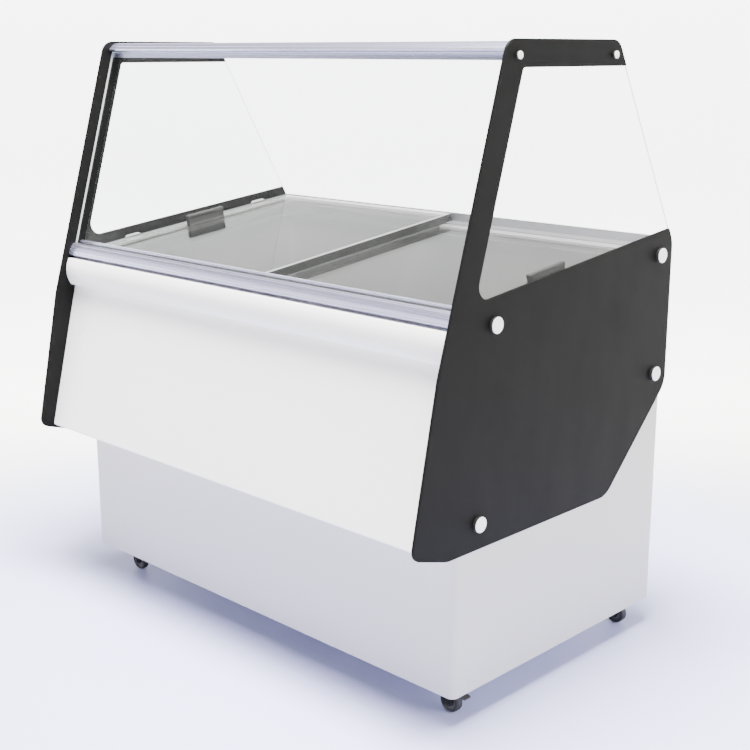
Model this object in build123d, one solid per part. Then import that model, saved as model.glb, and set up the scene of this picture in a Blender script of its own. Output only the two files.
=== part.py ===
from build123d import *
import math
import os

# Display chest freezer with a glass canopy and two sliding glass lids.
# Millimetres. X runs left to right, Y runs front to back, Z is up.
# The cabinet is drawn with its front face at y = 0 and its bottom at z = 0, then
# place() lifts it onto its casters and centres its depth on the origin.

# ---- driving sizes -------------------------------------------------------------------
CABINET_WIDTH = 1262.0
CABINET_DEPTH = 728.0
CABINET_CORNER = 16.0
SHEET = 1.5
RIM_HEIGHT = 795.0            # plane of the lid rim, above the cabinet bottom at its front face
RIM_SLOPE = 7.1               # degrees that the lids rise towards the back
FRAME_DEPTH = 70.0            # lid frame, from its rim down to the cabinet top
MACHINE_HEIGHT = 285.0        # compressor room under the insulated tub
FLOOR_INSULATION = 60.0
SIDE_INSULATION = 58.5
FRONT_INSULATION = 70.0
REAR_INSULATION = 69.0
LINER = 1.5
FIT = 0.3                     # clearance of a loose fit
RUNNING = 0.05                # radial clearance of a turning fit
BOLT_FIT = 0.2                # radial clearance of a bolt hole

PANEL_GAP = 13.0              # cabinet side to side panel
PANEL_THICKNESS = 6.0
CANOPY_HEIGHT = 1308.0        # top of the side panels, above the cabinet bottom
TOP_REAR = 466.0              # upper rear corner of the side panels, behind the cabinet's front face
FRONT_SLOPE = 0.2953          # run per unit of height of the canopy front
BELT_DROP = 105.0             # bend in the panel's front edge, below the rim
BELT_FRONT = -78.0            # front edge at the bend
LOWER_SLOPE = 0.205
TOE_HEIGHT = 352.0            # lowest front corner
BELLY_HEIGHT = 321.5          # level bottom edge
BELLY_FRONT = -45.0
BELLY_REAR = 491.0
SHOULDER_LOW = 542.0
PANEL_SETBACK = 17.0          # panel's rear edge in front of the cabinet's rear
SHOULDER_RISE = 78.0          # upper end of the panel's upright rear edge, above the rim
TOP_BAND = 52.5               # black band along the canopy top
FRONT_BAND = 63.5             # black band along the canopy front, measured level
WINDOW_RISE = 23.5            # lower edge of the window above the rim, at the cabinet's front face
WINDOW_SLOPE = 0.119
PANE_SEAT = 8.0
PANE = 3.0

GLASS = 5.2
GLASS_SETBACK = 27.6          # front glass behind the panel's front edge, measured level
GLASS_FOOT_GAP = 3.5          # front glass above the sill
GLASS_HEAD_DROP = 25.0        # front glass below the canopy top

LID_GLASS = 4.0
LID_THICKNESS = 20.0
LID_OUTER_BAR = 27.0
LID_INNER_BAR = 13.0
LID_REAR_BAR = 28.0
LID_FRONT_BAR = 20.0
LID_SEAT = 6.0
PANE_DROP = 1.0               # pane below the top of its bars
HANDLE_LENGTH = 122.0
HANDLE_HEIGHT = 31.0
HANDLE_WIDTH = 15.0
HANDLE_INSET = 61.0           # handle centre from the cabinet side
HANDLE_PLACE = 352.0          # handle centre along the slope

CAP_RADIUS = 16.5
CAP_THICKNESS = 2.0
COLLAR = 7.0
BOLT_RADIUS = 4.0
SPACER_RADIUS = 11.0
RAIL_CAP_RADIUS = 7.6
RAIL_COLLAR = 5.0
RAIL_BOLT_RADIUS = 3.0

CASTER_INSET_X = 79.0
CASTER_INSET_Y = 59.0
CASTER_TRAIL = 25.0
WHEEL_RADIUS = 25.0
WHEEL_WIDTH = 20.0
WHEEL_GAP = 2.7               # wheel to the underside of the fork
AXLE_RADIUS = 4.0
KINGPIN_RADIUS = 5.0

# ---- derived planes ------------------------------------------------------------------
SIDE_X = CABINET_WIDTH / 2
PANEL_IN = SIDE_X + PANEL_GAP
PANEL_OUT = PANEL_IN + PANEL_THICKNESS
SLOPE = math.tan(math.radians(RIM_SLOPE))
DECK = Location((0, 0, RIM_HEIGHT), (RIM_SLOPE, 0, 0))
PANEL_REAR = CABINET_DEPTH - PANEL_SETBACK
SHOULDER_HIGH = RIM_HEIGHT + SHOULDER_RISE
BELT_HEIGHT = RIM_HEIGHT - BELT_DROP
TOP_FRONT = BELT_FRONT + FRONT_SLOPE * (CANOPY_HEIGHT - BELT_HEIGHT)
TUB_X = SIDE_X - SHEET - SIDE_INSULATION
TUB_FRONT = FRONT_INSULATION
TUB_REAR = CABINET_DEPTH - REAR_INSULATION
TUB_FLOOR = MACHINE_HEIGHT + FLOOR_INSULATION


def deck_level(y, depth=FRAME_DEPTH):
    """Height of the plane that lies depth under the rim, at y."""
    return RIM_HEIGHT + SLOPE * y - depth / math.cos(math.radians(RIM_SLOPE))


def deck_run(y, depth=FRAME_DEPTH):
    """Distance along the slope of the place at y on the plane that lies depth under the rim."""
    angle = math.radians(RIM_SLOPE)
    return (y - depth * math.sin(angle)) / math.cos(angle)


# ---- lid frame places, along the slope -----------------------------------------------
FRAME_FRONT = 13.5            # lid frame's front edge
FRAME_SETBACK = 24.5          # its rear edge in front of the cabinet's depth
TRACK_WALL = 4.0
TRACK_SKIN = 3.0
LEDGE_WIDTH = 25.0            # upper ledge
LEDGE_LAP = 2.7               # lower ledge over the tub's inner face
LEDGE_DROP = 1.0              # upper lid's top under the rim
STEP_GAP = 2.5                # lower lid's top under the upper lid
UPPER_PLAY = 2.5
LOWER_PLAY = 2.0
SIDE_PLAY = 2.0
UPSTAND = 14.0                # end rail wall beside the lids
FRAME_REAR = CABINET_DEPTH - FRAME_SETBACK
UPPER_LEDGE = -LID_THICKNESS - LEDGE_DROP - FIT
LOWER_LEDGE = UPPER_LEDGE - LID_THICKNESS - STEP_GAP
UPPER_START = FRAME_FRONT + TRACK_WALL + UPPER_PLAY
LOWER_START = FRAME_FRONT + TRACK_WALL + LEDGE_WIDTH + LOWER_PLAY
UPPER_END = FRAME_REAR - TRACK_WALL - UPPER_PLAY
LOWER_END = FRAME_REAR - TRACK_WALL - LEDGE_WIDTH - LOWER_PLAY
OPENING_FRONT = deck_run(TUB_FRONT + LINER) + LEDGE_LAP
OPENING_REAR = deck_run(TUB_REAR - LINER) - LEDGE_LAP
LID_END = SIDE_X - UPSTAND - SIDE_PLAY


# ---- helpers -------------------------------------------------------------------------
def polygon(*corners):
    """Flat face through (u, v) or (u, v, radius) corners, rounded where a radius is given."""
    points = [corner[:2] for corner in corners]
    radii = [corner[2] if len(corner) > 2 else 0 for corner in corners]
    if not any(radii):
        return make_face(Polyline(*points, close=True))
    return make_face(FilletPolyline(*points, radius=radii, close=True))


def along_x(face, start, end):
    """Carries a (y, z) face along X."""
    return extrude(Plane.YZ.offset(start) * face, end - start)


def bar(x0, x1, y0, y1, z0, z1):
    """Rectangular block between two corners."""
    return Pos((x0 + x1) / 2, (y0 + y1) / 2, (z0 + z1) / 2) * Box(x1 - x0, y1 - y0, z1 - z0)


def rod(radius, start, end, axis="Z"):
    """Round bar from one point to another along a main axis."""
    length = {"X": end[0] - start[0], "Y": end[1] - start[1], "Z": end[2] - start[2]}[axis]
    turn = {"X": Rot(0, 90, 0), "Y": Rot(-90, 0, 0), "Z": Rot(0, 0, 0)}[axis]
    if length < 0:
        return rod(radius, end, start, axis)
    return Pos(*start) * turn * Cylinder(radius, length, align=(Align.CENTER, Align.CENTER, Align.MIN))


def mirrored(shape):
    """The same shape on the other side of the middle plane."""
    return mirror(shape, about=Plane.YZ)


def both(shape):
    """A shape and its mirror image, as separate solids."""
    return group([shape, mirrored(shape)])


def group(shapes):
    """Several separate solids kept in one node."""
    solids = [solid for shape in shapes for solid in shape.solids()]
    return Compound(children=[Solid(solid.wrapped) for solid in solids])


# ---- side panels: outline, window and fixings ----------------------------------------
def front_edge(z):
    """Front edge of the side panel at height z, above the bend and below it."""
    slope = FRONT_SLOPE if z >= BELT_HEIGHT else LOWER_SLOPE
    return BELT_FRONT + slope * (z - BELT_HEIGHT)


def rear_edge(z):
    """Sloping rear edge of the canopy at height z."""
    run = (PANEL_REAR - TOP_REAR) / (CANOPY_HEIGHT - SHOULDER_HIGH)
    return TOP_REAR + run * (CANOPY_HEIGHT - z)


def window_sill(y):
    """Lower edge of the window at y."""
    return RIM_HEIGHT + WINDOW_RISE + WINDOW_SLOPE * y


def glass_line(z):
    """Front face of the front glass at height z."""
    return BELT_FRONT + FRONT_SLOPE * (z - BELT_HEIGHT) + GLASS_SETBACK


def panel_outline():
    return polygon(
        (TOP_FRONT, CANOPY_HEIGHT, 34),
        (front_edge(BELT_HEIGHT), BELT_HEIGHT, 60),
        (front_edge(TOE_HEIGHT), TOE_HEIGHT, 24),
        (BELLY_FRONT, BELLY_HEIGHT, 60),
        (BELLY_REAR, BELLY_HEIGHT, 58),
        (PANEL_REAR, SHOULDER_LOW, 58),
        (PANEL_REAR, SHOULDER_HIGH, 70),
        (TOP_REAR, CANOPY_HEIGHT, 34),
    )


def window_outline():
    """Window cut, running out past the free rear edge of the pane."""
    head = CANOPY_HEIGHT - TOP_BAND
    past = PANEL_REAR + 60
    level_at_zero = BELT_FRONT - FRONT_SLOPE * BELT_HEIGHT + FRONT_BAND
    corner_y = (level_at_zero + FRONT_SLOPE * window_sill(0)) / (1 - FRONT_SLOPE * WINDOW_SLOPE)
    return polygon(
        (front_edge(head) + FRONT_BAND, head, 8),
        (corner_y, window_sill(corner_y), 28),
        (past, window_sill(past)),
        (past, head),
    )


PANEL_BOLTS = [
    (84.0, deck_level(84.0, 31.2)),
    (PANEL_REAR - 50.0, deck_level(PANEL_REAR - 50.0, 32.6)),
    (PANEL_REAR - 50.5, SHOULDER_LOW + 32.0),
    (46.0, BELLY_HEIGHT + 55.0),
]
RAIL_BOLT_LEVEL = CANOPY_HEIGHT - 30.0
RAIL_BOLTS = [
    (glass_line(RAIL_BOLT_LEVEL) + GLASS + 5.6, RAIL_BOLT_LEVEL),
    (TOP_REAR - 17.0, RAIL_BOLT_LEVEL),
]
SHANK_IN_CABINET = 12.0
SHANK_IN_RAIL = 22.0


def panel_holes(radius_gain):
    """Drill for the eight cabinet bolts and four rail bolts of one side."""
    drill = []
    for y, z in PANEL_BOLTS:
        start = (SIDE_X - SHANK_IN_CABINET - 1, y, z)
        drill.append(rod(BOLT_RADIUS + radius_gain, start, (PANEL_OUT + 1, y, z), "X"))
    for y, z in RAIL_BOLTS:
        start = (PANEL_IN - SHANK_IN_RAIL - 1, y, z)
        drill.append(rod(RAIL_BOLT_RADIUS + radius_gain, start, (PANEL_OUT + 1, y, z), "X"))
    return drill


def drilled(shape, radius_gain=BOLT_FIT):
    """Cuts both sides' bolt holes from a shape."""
    for drill in panel_holes(radius_gain):
        shape = shape - drill - mirrored(drill)
    return shape


def side_panel():
    """Black enamelled sheet, C-shaped round the window, rebated inside for the pane."""
    outline = panel_outline()
    window = window_outline()
    sheet = along_x(outline, PANEL_IN, PANEL_OUT) - along_x(window, PANEL_IN - 1, PANEL_OUT + 1)
    seat = offset(window, PANE_SEAT)
    sheet = sheet - along_x(seat, PANEL_IN - 1, PANEL_IN + PANE)
    for drill in panel_holes(BOLT_FIT):
        sheet = sheet - drill
    return sheet


def side_window():
    """Clear pane seated in the panel's rebate, with a free rear edge."""
    pane = offset(window_outline(), PANE_SEAT - FIT)
    face = pane & panel_outline()
    return along_x(face, PANEL_IN, PANEL_IN + PANE)


def panel_fixings():
    """Spacers, bolts, dark collars and white caps of both sides, by node."""
    spacers, bolts, collars, caps = [], [], [], []
    rail_bolts, rail_collars, rail_caps = [], [], []
    for y, z in PANEL_BOLTS:
        spacer = rod(SPACER_RADIUS, (SIDE_X, y, z), (PANEL_IN, y, z), "X")
        spacers.append(spacer - rod(BOLT_RADIUS + BOLT_FIT, (SIDE_X - 1, y, z), (PANEL_IN + 1, y, z), "X"))
        collar = rod(CAP_RADIUS, (PANEL_OUT, y, z), (PANEL_OUT + COLLAR, y, z), "X")
        bore = rod(BOLT_RADIUS + BOLT_FIT, (PANEL_OUT - 1, y, z), (PANEL_OUT + COLLAR + 1, y, z), "X")
        collars.append(collar - bore)
        bolts.append(rod(BOLT_RADIUS, (SIDE_X - SHANK_IN_CABINET, y, z), (PANEL_OUT + COLLAR, y, z), "X"))
        caps.append(cap(PANEL_OUT + COLLAR, y, z, CAP_RADIUS))
    for y, z in RAIL_BOLTS:
        outer = PANEL_OUT + RAIL_COLLAR
        collar = rod(RAIL_CAP_RADIUS, (PANEL_OUT, y, z), (outer, y, z), "X")
        bore = rod(RAIL_BOLT_RADIUS + BOLT_FIT, (PANEL_OUT - 1, y, z), (outer + 1, y, z), "X")
        rail_collars.append(collar - bore)
        start = (PANEL_IN - SHANK_IN_RAIL, y, z)
        rail_bolts.append(rod(RAIL_BOLT_RADIUS, start, (outer, y, z), "X"))
        rail_caps.append(cap(outer, y, z, RAIL_CAP_RADIUS))
    nodes = {
        "panel_spacers": spacers, "panel_bolts": bolts, "panel_bolt_collars": collars,
        "panel_bolt_caps": caps, "rail_bolts": rail_bolts, "rail_bolt_collars": rail_collars,
        "rail_bolt_caps": rail_caps,
    }
    return {name: group([both(shape) for shape in shapes]) for name, shapes in nodes.items()}


def cap(x, y, z, radius):
    """Low white disc with a softened rim."""
    disc = rod(radius, (x, y, z), (x + CAP_THICKNESS, y, z), "X")
    rim = disc.edges().filter_by(GeomType.CIRCLE).sort_by(Axis.X)[-1]
    return fillet(rim, CAP_THICKNESS * 0.45)


# ---- cabinet -------------------------------------------------------------------------
def under_deck(depth=FRAME_DEPTH, margin=60):
    """Everything below the plane that lies depth under the rim."""
    face = polygon(
        (-margin, -10), (CABINET_DEPTH + margin, -10),
        (CABINET_DEPTH + margin, deck_level(CABINET_DEPTH + margin, depth)),
        (-margin, deck_level(-margin, depth)),
    )
    return along_x(face, -SIDE_X - margin, SIDE_X + margin)


def cabinet_block(inset, bottom):
    """Cabinet-shaped block, inset from the outer faces, cut by the deck."""
    width = CABINET_WIDTH - 2 * inset
    depth = CABINET_DEPTH - 2 * inset
    plan = Pos(0, CABINET_DEPTH / 2, bottom) * RectangleRounded(width, depth, CABINET_CORNER - inset)
    return extrude(plan, CANOPY_HEIGHT) & under_deck()


GRILLE_X = (-470.0, 330.0)
GRILLE_Z = (36.0, MACHINE_HEIGHT - 23.0)
GRILLE_LAP = 14.0
DRAIN = (-300.0, 200.0)
DRAIN_RADIUS = 14.0
DRAIN_WALL = 2.0
SPIGOT_WALL = 1.4
SPIGOT_LENGTH = 20.0


def cabinet_shell():
    """Painted sheet wrapped round the cabinet, with a rear opening for the grille."""
    shell = cabinet_block(0, 0) - cabinet_block(SHEET, -5)
    opening = bar(
        GRILLE_X[0] + GRILLE_LAP, GRILLE_X[1] - GRILLE_LAP, CABINET_DEPTH - 10, CABINET_DEPTH + 10,
        GRILLE_Z[0] + GRILLE_LAP, GRILLE_Z[1] - GRILLE_LAP,
    )
    return drilled(shell - opening)


def drain_hole(radius, bottom, top):
    return rod(radius, (DRAIN[0], DRAIN[1], bottom), (DRAIN[0], DRAIN[1], top))


def insulation_foam():
    """Foam slabs round the tub: floor, front, rear and two ends."""
    block = cabinet_block(SHEET, MACHINE_HEIGHT)
    past = SIDE_X + 10
    rear = CABINET_DEPTH + 10
    slabs = [
        bar(-past, past, -10, rear, 0, TUB_FLOOR) - drain_hole(DRAIN_RADIUS + DRAIN_WALL, 0, TUB_FLOOR),
        bar(-past, past, -10, TUB_FRONT, TUB_FLOOR, CANOPY_HEIGHT),
        bar(-past, past, TUB_REAR, rear, TUB_FLOOR, CANOPY_HEIGHT),
        bar(TUB_X, past, TUB_FRONT, TUB_REAR, TUB_FLOOR, CANOPY_HEIGHT),
        bar(-past, -TUB_X, TUB_FRONT, TUB_REAR, TUB_FLOOR, CANOPY_HEIGHT),
    ]
    return group([drilled(block & slab) for slab in slabs])


def inner_liner():
    """Thin open tub with rounded upright corners."""
    width = 2 * TUB_X
    depth = TUB_REAR - TUB_FRONT
    middle = (TUB_FRONT + TUB_REAR) / 2
    block = extrude(Pos(0, middle, TUB_FLOOR) * Rectangle(width, depth), CANOPY_HEIGHT) & under_deck()
    hollow = Pos(0, middle, TUB_FLOOR + LINER) * RectangleRounded(width - 2 * LINER, depth - 2 * LINER, 18)
    liner = block - extrude(hollow, CANOPY_HEIGHT)
    return liner - drain_hole(DRAIN_RADIUS, TUB_FLOOR - 1, TUB_FLOOR + LINER + 1)


PAN_FLANGE = 22.0
PAN_SHEET = 2.0


def base_pan():
    """Steel tray closing the bottom of the compressor room and carrying the casters."""
    width = CABINET_WIDTH - 2 * SHEET
    depth = CABINET_DEPTH - 2 * SHEET
    corner = CABINET_CORNER - SHEET
    middle = CABINET_DEPTH / 2
    tray = extrude(Pos(0, middle, 0) * RectangleRounded(width, depth, corner), PAN_FLANGE)
    room = 2 * PAN_SHEET
    hollow = Pos(0, middle, PAN_SHEET) * RectangleRounded(width - room, depth - room, corner - PAN_SHEET)
    tray = tray - extrude(hollow, PAN_FLANGE)
    tray = tray - drain_hole(DRAIN_RADIUS + DRAIN_WALL, -1, PAN_SHEET + 1)
    for x, y in caster_places().values():
        tray = tray - rod(KINGPIN_RADIUS + BOLT_FIT, (x, y, -1), (x, y, PAN_SHEET + 1))
    return tray


# ---- lid frame -----------------------------------------------------------------------
def track_chamber(front, rear):
    """Hollow of a track between two places, a skin's thickness inside it."""
    low, high = -FRAME_DEPTH + TRACK_SKIN, LOWER_LEDGE - TRACK_SKIN
    return polygon((front, low), (rear, low), (rear, high), (front, high))


def front_track():
    """Front rail of the lid frame, with a step for each lid."""
    wall = FRAME_FRONT + TRACK_WALL
    step = wall + LEDGE_WIDTH
    face = polygon(
        (FRAME_FRONT, -FRAME_DEPTH), (OPENING_FRONT, -FRAME_DEPTH), (OPENING_FRONT, LOWER_LEDGE),
        (step, LOWER_LEDGE), (step, UPPER_LEDGE), (wall, UPPER_LEDGE), (wall, -1), (FRAME_FRONT, -1),
    )
    chamber = track_chamber(wall, OPENING_FRONT - TRACK_SKIN)
    return DECK * along_x(face - chamber, -SIDE_X + UPSTAND, SIDE_X - UPSTAND)


def rear_track():
    """Rear rail of the lid frame, with a rim wall and a sloping skirt to the cabinet."""
    skirt = deck_run(CABINET_DEPTH) - 1
    wall = FRAME_REAR - TRACK_WALL
    step = wall - LEDGE_WIDTH
    face = polygon(
        (OPENING_REAR, -FRAME_DEPTH), (skirt, -FRAME_DEPTH), (skirt, -FRAME_DEPTH + 8, 3),
        (FRAME_REAR + 3, -FRAME_DEPTH + 20, 6), (FRAME_REAR, -16), (FRAME_REAR, 0, 1.2),
        (wall, 0, 1.2), (wall, UPPER_LEDGE), (step, UPPER_LEDGE), (step, LOWER_LEDGE),
        (OPENING_REAR, LOWER_LEDGE),
    )
    chamber = track_chamber(OPENING_REAR + TRACK_SKIN, wall)
    return DECK * along_x(face - chamber, -SIDE_X + UPSTAND, SIDE_X - UPSTAND)


def end_rail():
    """Right-hand end of the lid frame: an upstand beside the lids and a ledge over the tub wall."""
    upstand = bar(SIDE_X - UPSTAND, SIDE_X, FRAME_FRONT, FRAME_REAR, -FRAME_DEPTH, -0.5)
    top = upstand.edges().filter_by(Axis.Y).group_by(Axis.Z)[-1]
    upstand = fillet(top, 1.5)
    inner = TUB_X - LINER - LEDGE_LAP
    ledge = bar(inner, SIDE_X - UPSTAND, OPENING_FRONT, OPENING_REAR, -FRAME_DEPTH, LOWER_LEDGE - 2)
    return drilled(DECK * (upstand + ledge))


LUG_LENGTH = 46.0
LUG_PLACES = (FRAME_FRONT + 136.5, FRAME_REAR - 118.5)


def lid_buffers():
    """Low rounded lugs on top of the two end rails."""
    lugs = []
    for place in LUG_PLACES:
        face = polygon(
            (place - LUG_LENGTH / 2, -0.5), (place + LUG_LENGTH / 2, -0.5),
            (place + LUG_LENGTH / 2, 6, 5.9), (place - LUG_LENGTH / 2, 6, 5.9),
        )
        lug = along_x(face, SIDE_X - UPSTAND + 2, SIDE_X - 2)
        lugs.append(both(DECK * lug))
    return group(lugs)


# ---- lids ----------------------------------------------------------------------------
def lid_hole(start, end, seat):
    """Opening inside the four bars of a left-hand lid, widened by seat: x and y limits."""
    left, right = LID_OUTER_BAR - LID_END, -LID_INNER_BAR / 2
    return left - seat, right + seat, start + LID_FRONT_BAR - seat, end - LID_REAR_BAR + seat


def lid_frame(start, end, top):
    """Ring of four bars for a left-hand lid, rebated from above for its pane."""
    ring = bar(-LID_END, LID_INNER_BAR / 2, start, end, top - LID_THICKNESS, top)
    ring = ring - bar(*lid_hole(start, end, 0), top - LID_THICKNESS - 1, top + 1)
    return ring - bar(*lid_hole(start, end, LID_SEAT), top - LID_GLASS - PANE_DROP, top + 1)


def lid_pane(start, end, top):
    """Pane dropped into the ring, a little below its top."""
    return bar(*lid_hole(start, end, LID_SEAT - FIT), top - PANE_DROP - LID_GLASS, top - PANE_DROP)


def lid_handle(top):
    """Upright grip standing on the pane near the lid's outer end."""
    middle = -SIDE_X + HANDLE_INSET
    foot = top - PANE_DROP
    grip = bar(middle - HANDLE_WIDTH / 2, middle + HANDLE_WIDTH / 2, HANDLE_PLACE - HANDLE_LENGTH / 2,
               HANDLE_PLACE + HANDLE_LENGTH / 2, foot, foot + HANDLE_HEIGHT)
    return fillet(grip.edges().group_by(Axis.Z)[-1], 2.0)


def lids():
    """Left lid on the upper ledges, right lid on the lower ones."""
    upper = (UPPER_START, UPPER_END, UPPER_LEDGE + FIT + LID_THICKNESS)
    lower = (LOWER_START, LOWER_END, LOWER_LEDGE + FIT + LID_THICKNESS)
    return {
        "left_lid_frame": DECK * lid_frame(*upper),
        "left_lid_glass": DECK * lid_pane(*upper),
        "left_lid_handle": DECK * lid_handle(upper[2]),
        "right_lid_frame": mirrored(DECK * lid_frame(*lower)),
        "right_lid_glass": mirrored(DECK * lid_pane(*lower)),
        "right_lid_handle": mirrored(DECK * lid_handle(lower[2])),
    }


# ---- canopy --------------------------------------------------------------------------
SILL_TOP = RIM_HEIGHT + 8.0
GLASS_FOOT = SILL_TOP + GLASS_FOOT_GAP
GLASS_HEAD = CANOPY_HEIGHT - GLASS_HEAD_DROP
GASKET_HEAD = GLASS_FOOT + 5.0
GASKET_LIP = 2.0


def front_glass():
    face = polygon(
        (glass_line(GLASS_FOOT), GLASS_FOOT), (glass_line(GLASS_FOOT) + GLASS, GLASS_FOOT),
        (glass_line(GLASS_HEAD) + GLASS, GLASS_HEAD), (glass_line(GLASS_HEAD), GLASS_HEAD),
    )
    return along_x(face, -PANEL_IN + 1, PANEL_IN - 1)


def glass_gasket():
    """Black channel gasket along the foot of the front glass."""
    foot, head, lip = SILL_TOP, GASKET_HEAD, GASKET_LIP
    outer = polygon(
        (glass_line(foot) - lip, foot), (glass_line(foot) + GLASS + lip, foot),
        (glass_line(head) + GLASS + lip, head), (glass_line(head) - lip, head),
    )
    slot = polygon(
        (glass_line(GLASS_FOOT), GLASS_FOOT), (glass_line(GLASS_FOOT) + GLASS, GLASS_FOOT),
        (glass_line(head + 2) + GLASS, head + 2), (glass_line(head + 2), head + 2),
    )
    return along_x(outer - slot, -PANEL_IN + 1, PANEL_IN - 1)


RAIL_TOP = CANOPY_HEIGHT - 4.5
RAIL_FOOT = CANOPY_HEIGHT - 39.5


def front_top_rail():
    """Aluminium extrusion capping the front glass: a nose over the glass, a flat top and a chamber."""
    nose = GLASS_HEAD + 2.5
    front = glass_line(nose) - 8
    face = polygon(
        (front, nose), (front, nose + 4), (glass_line(RAIL_TOP) + 4, RAIL_TOP, 17),
        (glass_line(RAIL_TOP) + 37, RAIL_TOP, 3), (glass_line(RAIL_TOP) + 37, RAIL_FOOT, 3),
        (glass_line(RAIL_FOOT) + GLASS, RAIL_FOOT), (glass_line(nose) + GLASS, nose),
    )
    slot = polygon(
        (RAIL_BOLTS[0][0] + 9, RAIL_FOOT + 3), (glass_line(RAIL_TOP) + 34, RAIL_FOOT + 3),
        (glass_line(RAIL_TOP) + 34, RAIL_TOP - 3), (RAIL_BOLTS[0][0] + 9, RAIL_TOP - 3),
    )
    return drilled(along_x(face - slot, -PANEL_IN, PANEL_IN))


def rear_top_rail():
    """Aluminium tie along the rear of the canopy top."""
    y, _ = RAIL_BOLTS[1]
    face = polygon(
        (y - 16, RAIL_FOOT, 3), (y + 16, RAIL_FOOT, 3), (y + 16, RAIL_TOP, 10), (y - 16, RAIL_TOP, 3),
    )
    slot = polygon(
        (y - 13, RAIL_TOP - 13), (y + 10, RAIL_TOP - 13), (y + 10, RAIL_TOP - 4), (y - 13, RAIL_TOP - 4),
    )
    return drilled(along_x(face - slot, -PANEL_IN, PANEL_IN))


# ---- front: sill, bumper and cladding ------------------------------------------------
SILL_LIP = SILL_TOP + 13.0
SILL_NOSE = (-34.5, SILL_TOP - 18.5)
SILL_BACK = 10.5
BUMPER_TOP = RIM_HEIGHT - 20.0
BUMPER_HEIGHT = 67.5
BUMPER_FOOT = BUMPER_TOP - BUMPER_HEIGHT
BUMPER_REACH = 47.5
SILL_UNDER = BUMPER_TOP + 4.0
CLADDING = 2.0
CLADDING_SETBACK = 37.3       # cladding behind the panels' front edge, at the toe
CLADDING_TOP = (-22.0, BUMPER_FOOT - 1.0)
CLADDING_TOE = (front_edge(TOE_HEIGHT) + CLADDING_SETBACK, TOE_HEIGHT - 3.0)


def sill_profile():
    """Hollow aluminium sill: a convex nose rising to the glass, its gasket's pocket and a lip behind."""
    brow = GASKET_HEAD - 0.5
    pocket = glass_line(brow) - GASKET_LIP
    edge = (
        ThreePointArc(SILL_NOSE, (-29.2, SILL_TOP - 3), (pocket - 2.5, brow))
        + Polyline(
            (pocket - 2.5, brow), (pocket, brow), (glass_line(SILL_TOP) - GASKET_LIP, SILL_TOP),
            (-1.5, SILL_TOP), (-1.0, SILL_LIP - 3), (0.5, SILL_LIP - 1),
            (8, SILL_LIP), (SILL_BACK, SILL_LIP - 1.5), (SILL_BACK, deck_level(SILL_BACK)),
            (0.5, deck_level(0.5)), (0.5, SILL_UNDER), (-27, SILL_UNDER), SILL_NOSE,
        )
    )
    chamber = polygon(
        (-26, SILL_UNDER + 3), (-2, SILL_UNDER + 3), (-2, SILL_TOP - 4), (-12, SILL_TOP - 5),
        (-23, SILL_TOP - 12),
    )
    low, high = deck_level(SILL_BACK) + 14, SILL_TOP + 2
    web = polygon((3, low), (SILL_BACK - 2.5, low), (SILL_BACK - 2.5, high), (3, high))
    return along_x(make_face(edge) - chamber - web, -PANEL_IN, PANEL_IN)


def bumper_profile():
    """White bullnose bumper under the sill, bolted to the cabinet's front face."""
    middle = (-BUMPER_REACH, BUMPER_FOOT + 0.54 * BUMPER_HEIGHT)
    arc = ThreePointArc((-37, BUMPER_FOOT), middle, (-39, BUMPER_TOP))
    back = Polyline((-39, BUMPER_TOP), (0, BUMPER_TOP), (0, BUMPER_FOOT), (-37, BUMPER_FOOT))
    outer = make_face(arc + back)
    low, high = BUMPER_FOOT + 3.5, BUMPER_TOP - 4
    chamber = polygon((-35, low), (-4, low), (-4, high), (-35, high))
    return along_x(outer - chamber, -PANEL_IN + 2, PANEL_IN - 2)


def cladding_outline(back):
    return polygon(
        (back, CLADDING_TOP[1]), (*CLADDING_TOP, 3), (*CLADDING_TOE, 5),
        (BELLY_FRONT - 8, BELLY_HEIGHT + 9, 30), (back, BELLY_HEIGHT + 7),
    )


def cladding_room():
    """Space inside the cladding sheet."""
    outer = cladding_outline(20)
    return offset(outer, -CLADDING)


def before_cabinet():
    """Everything in front of the cabinet's front face."""
    return polygon((-400, 0), (0, 0), (0, CANOPY_HEIGHT), (-400, CANOPY_HEIGHT))


def front_cladding():
    """White sheet sloping out from under the bumper and returning under to the cabinet."""
    bent = cladding_outline(20) - cladding_room()
    return along_x(bent & before_cabinet(), -PANEL_IN + 1, PANEL_IN - 1)


def cladding_brackets():
    """Three upright gussets between the cabinet and the cladding."""
    web = cladding_room() & before_cabinet()
    low, high = TOE_HEIGHT + 48, BUMPER_FOOT - 87.5
    holes = polygon((-60, low), (-20, low), (-14, high), (-24, high))
    places = (-SIDE_X + 160, 0, SIDE_X - 160)
    return group([along_x(web - holes, x - 1.5, x + 1.5) for x in places])


# ---- compressor room -----------------------------------------------------------------
PLATE = 2.0
LOUVRE_PITCH = 17.0
CONDENSER_X = (40.0, 290.0)
CONDENSER_Z = (24.0, MACHINE_HEIGHT - 49.0)
CONDENSER_Y = (CABINET_DEPTH - 73.0, CABINET_DEPTH - 28.0)
FAN_THROAT = (CONDENSER_Z[1] - CONDENSER_Z[0]) / 2 - 16.0
FAN_GAP = 6.0                 # blade tip to throat
FAN_HUB = 20.0
FAN_MOTOR = 26.0
INLET_PLACE = (GRILLE_X[0] + 60.0, GRILLE_Z[0] + 64.0)
CONTROL_Z = (INLET_PLACE[1] + 46.0, MACHINE_HEIGHT - 45.0)
CONTROL_HALF = 45.0
KNOB_PLACE = (INLET_PLACE[0], sum(CONTROL_Z) / 2 - 3.0)
COMPRESSOR = (-300.0, 430.0)
COMPRESSOR_RADIUS = 78.0
FEET_HEIGHT = 14.0


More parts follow.
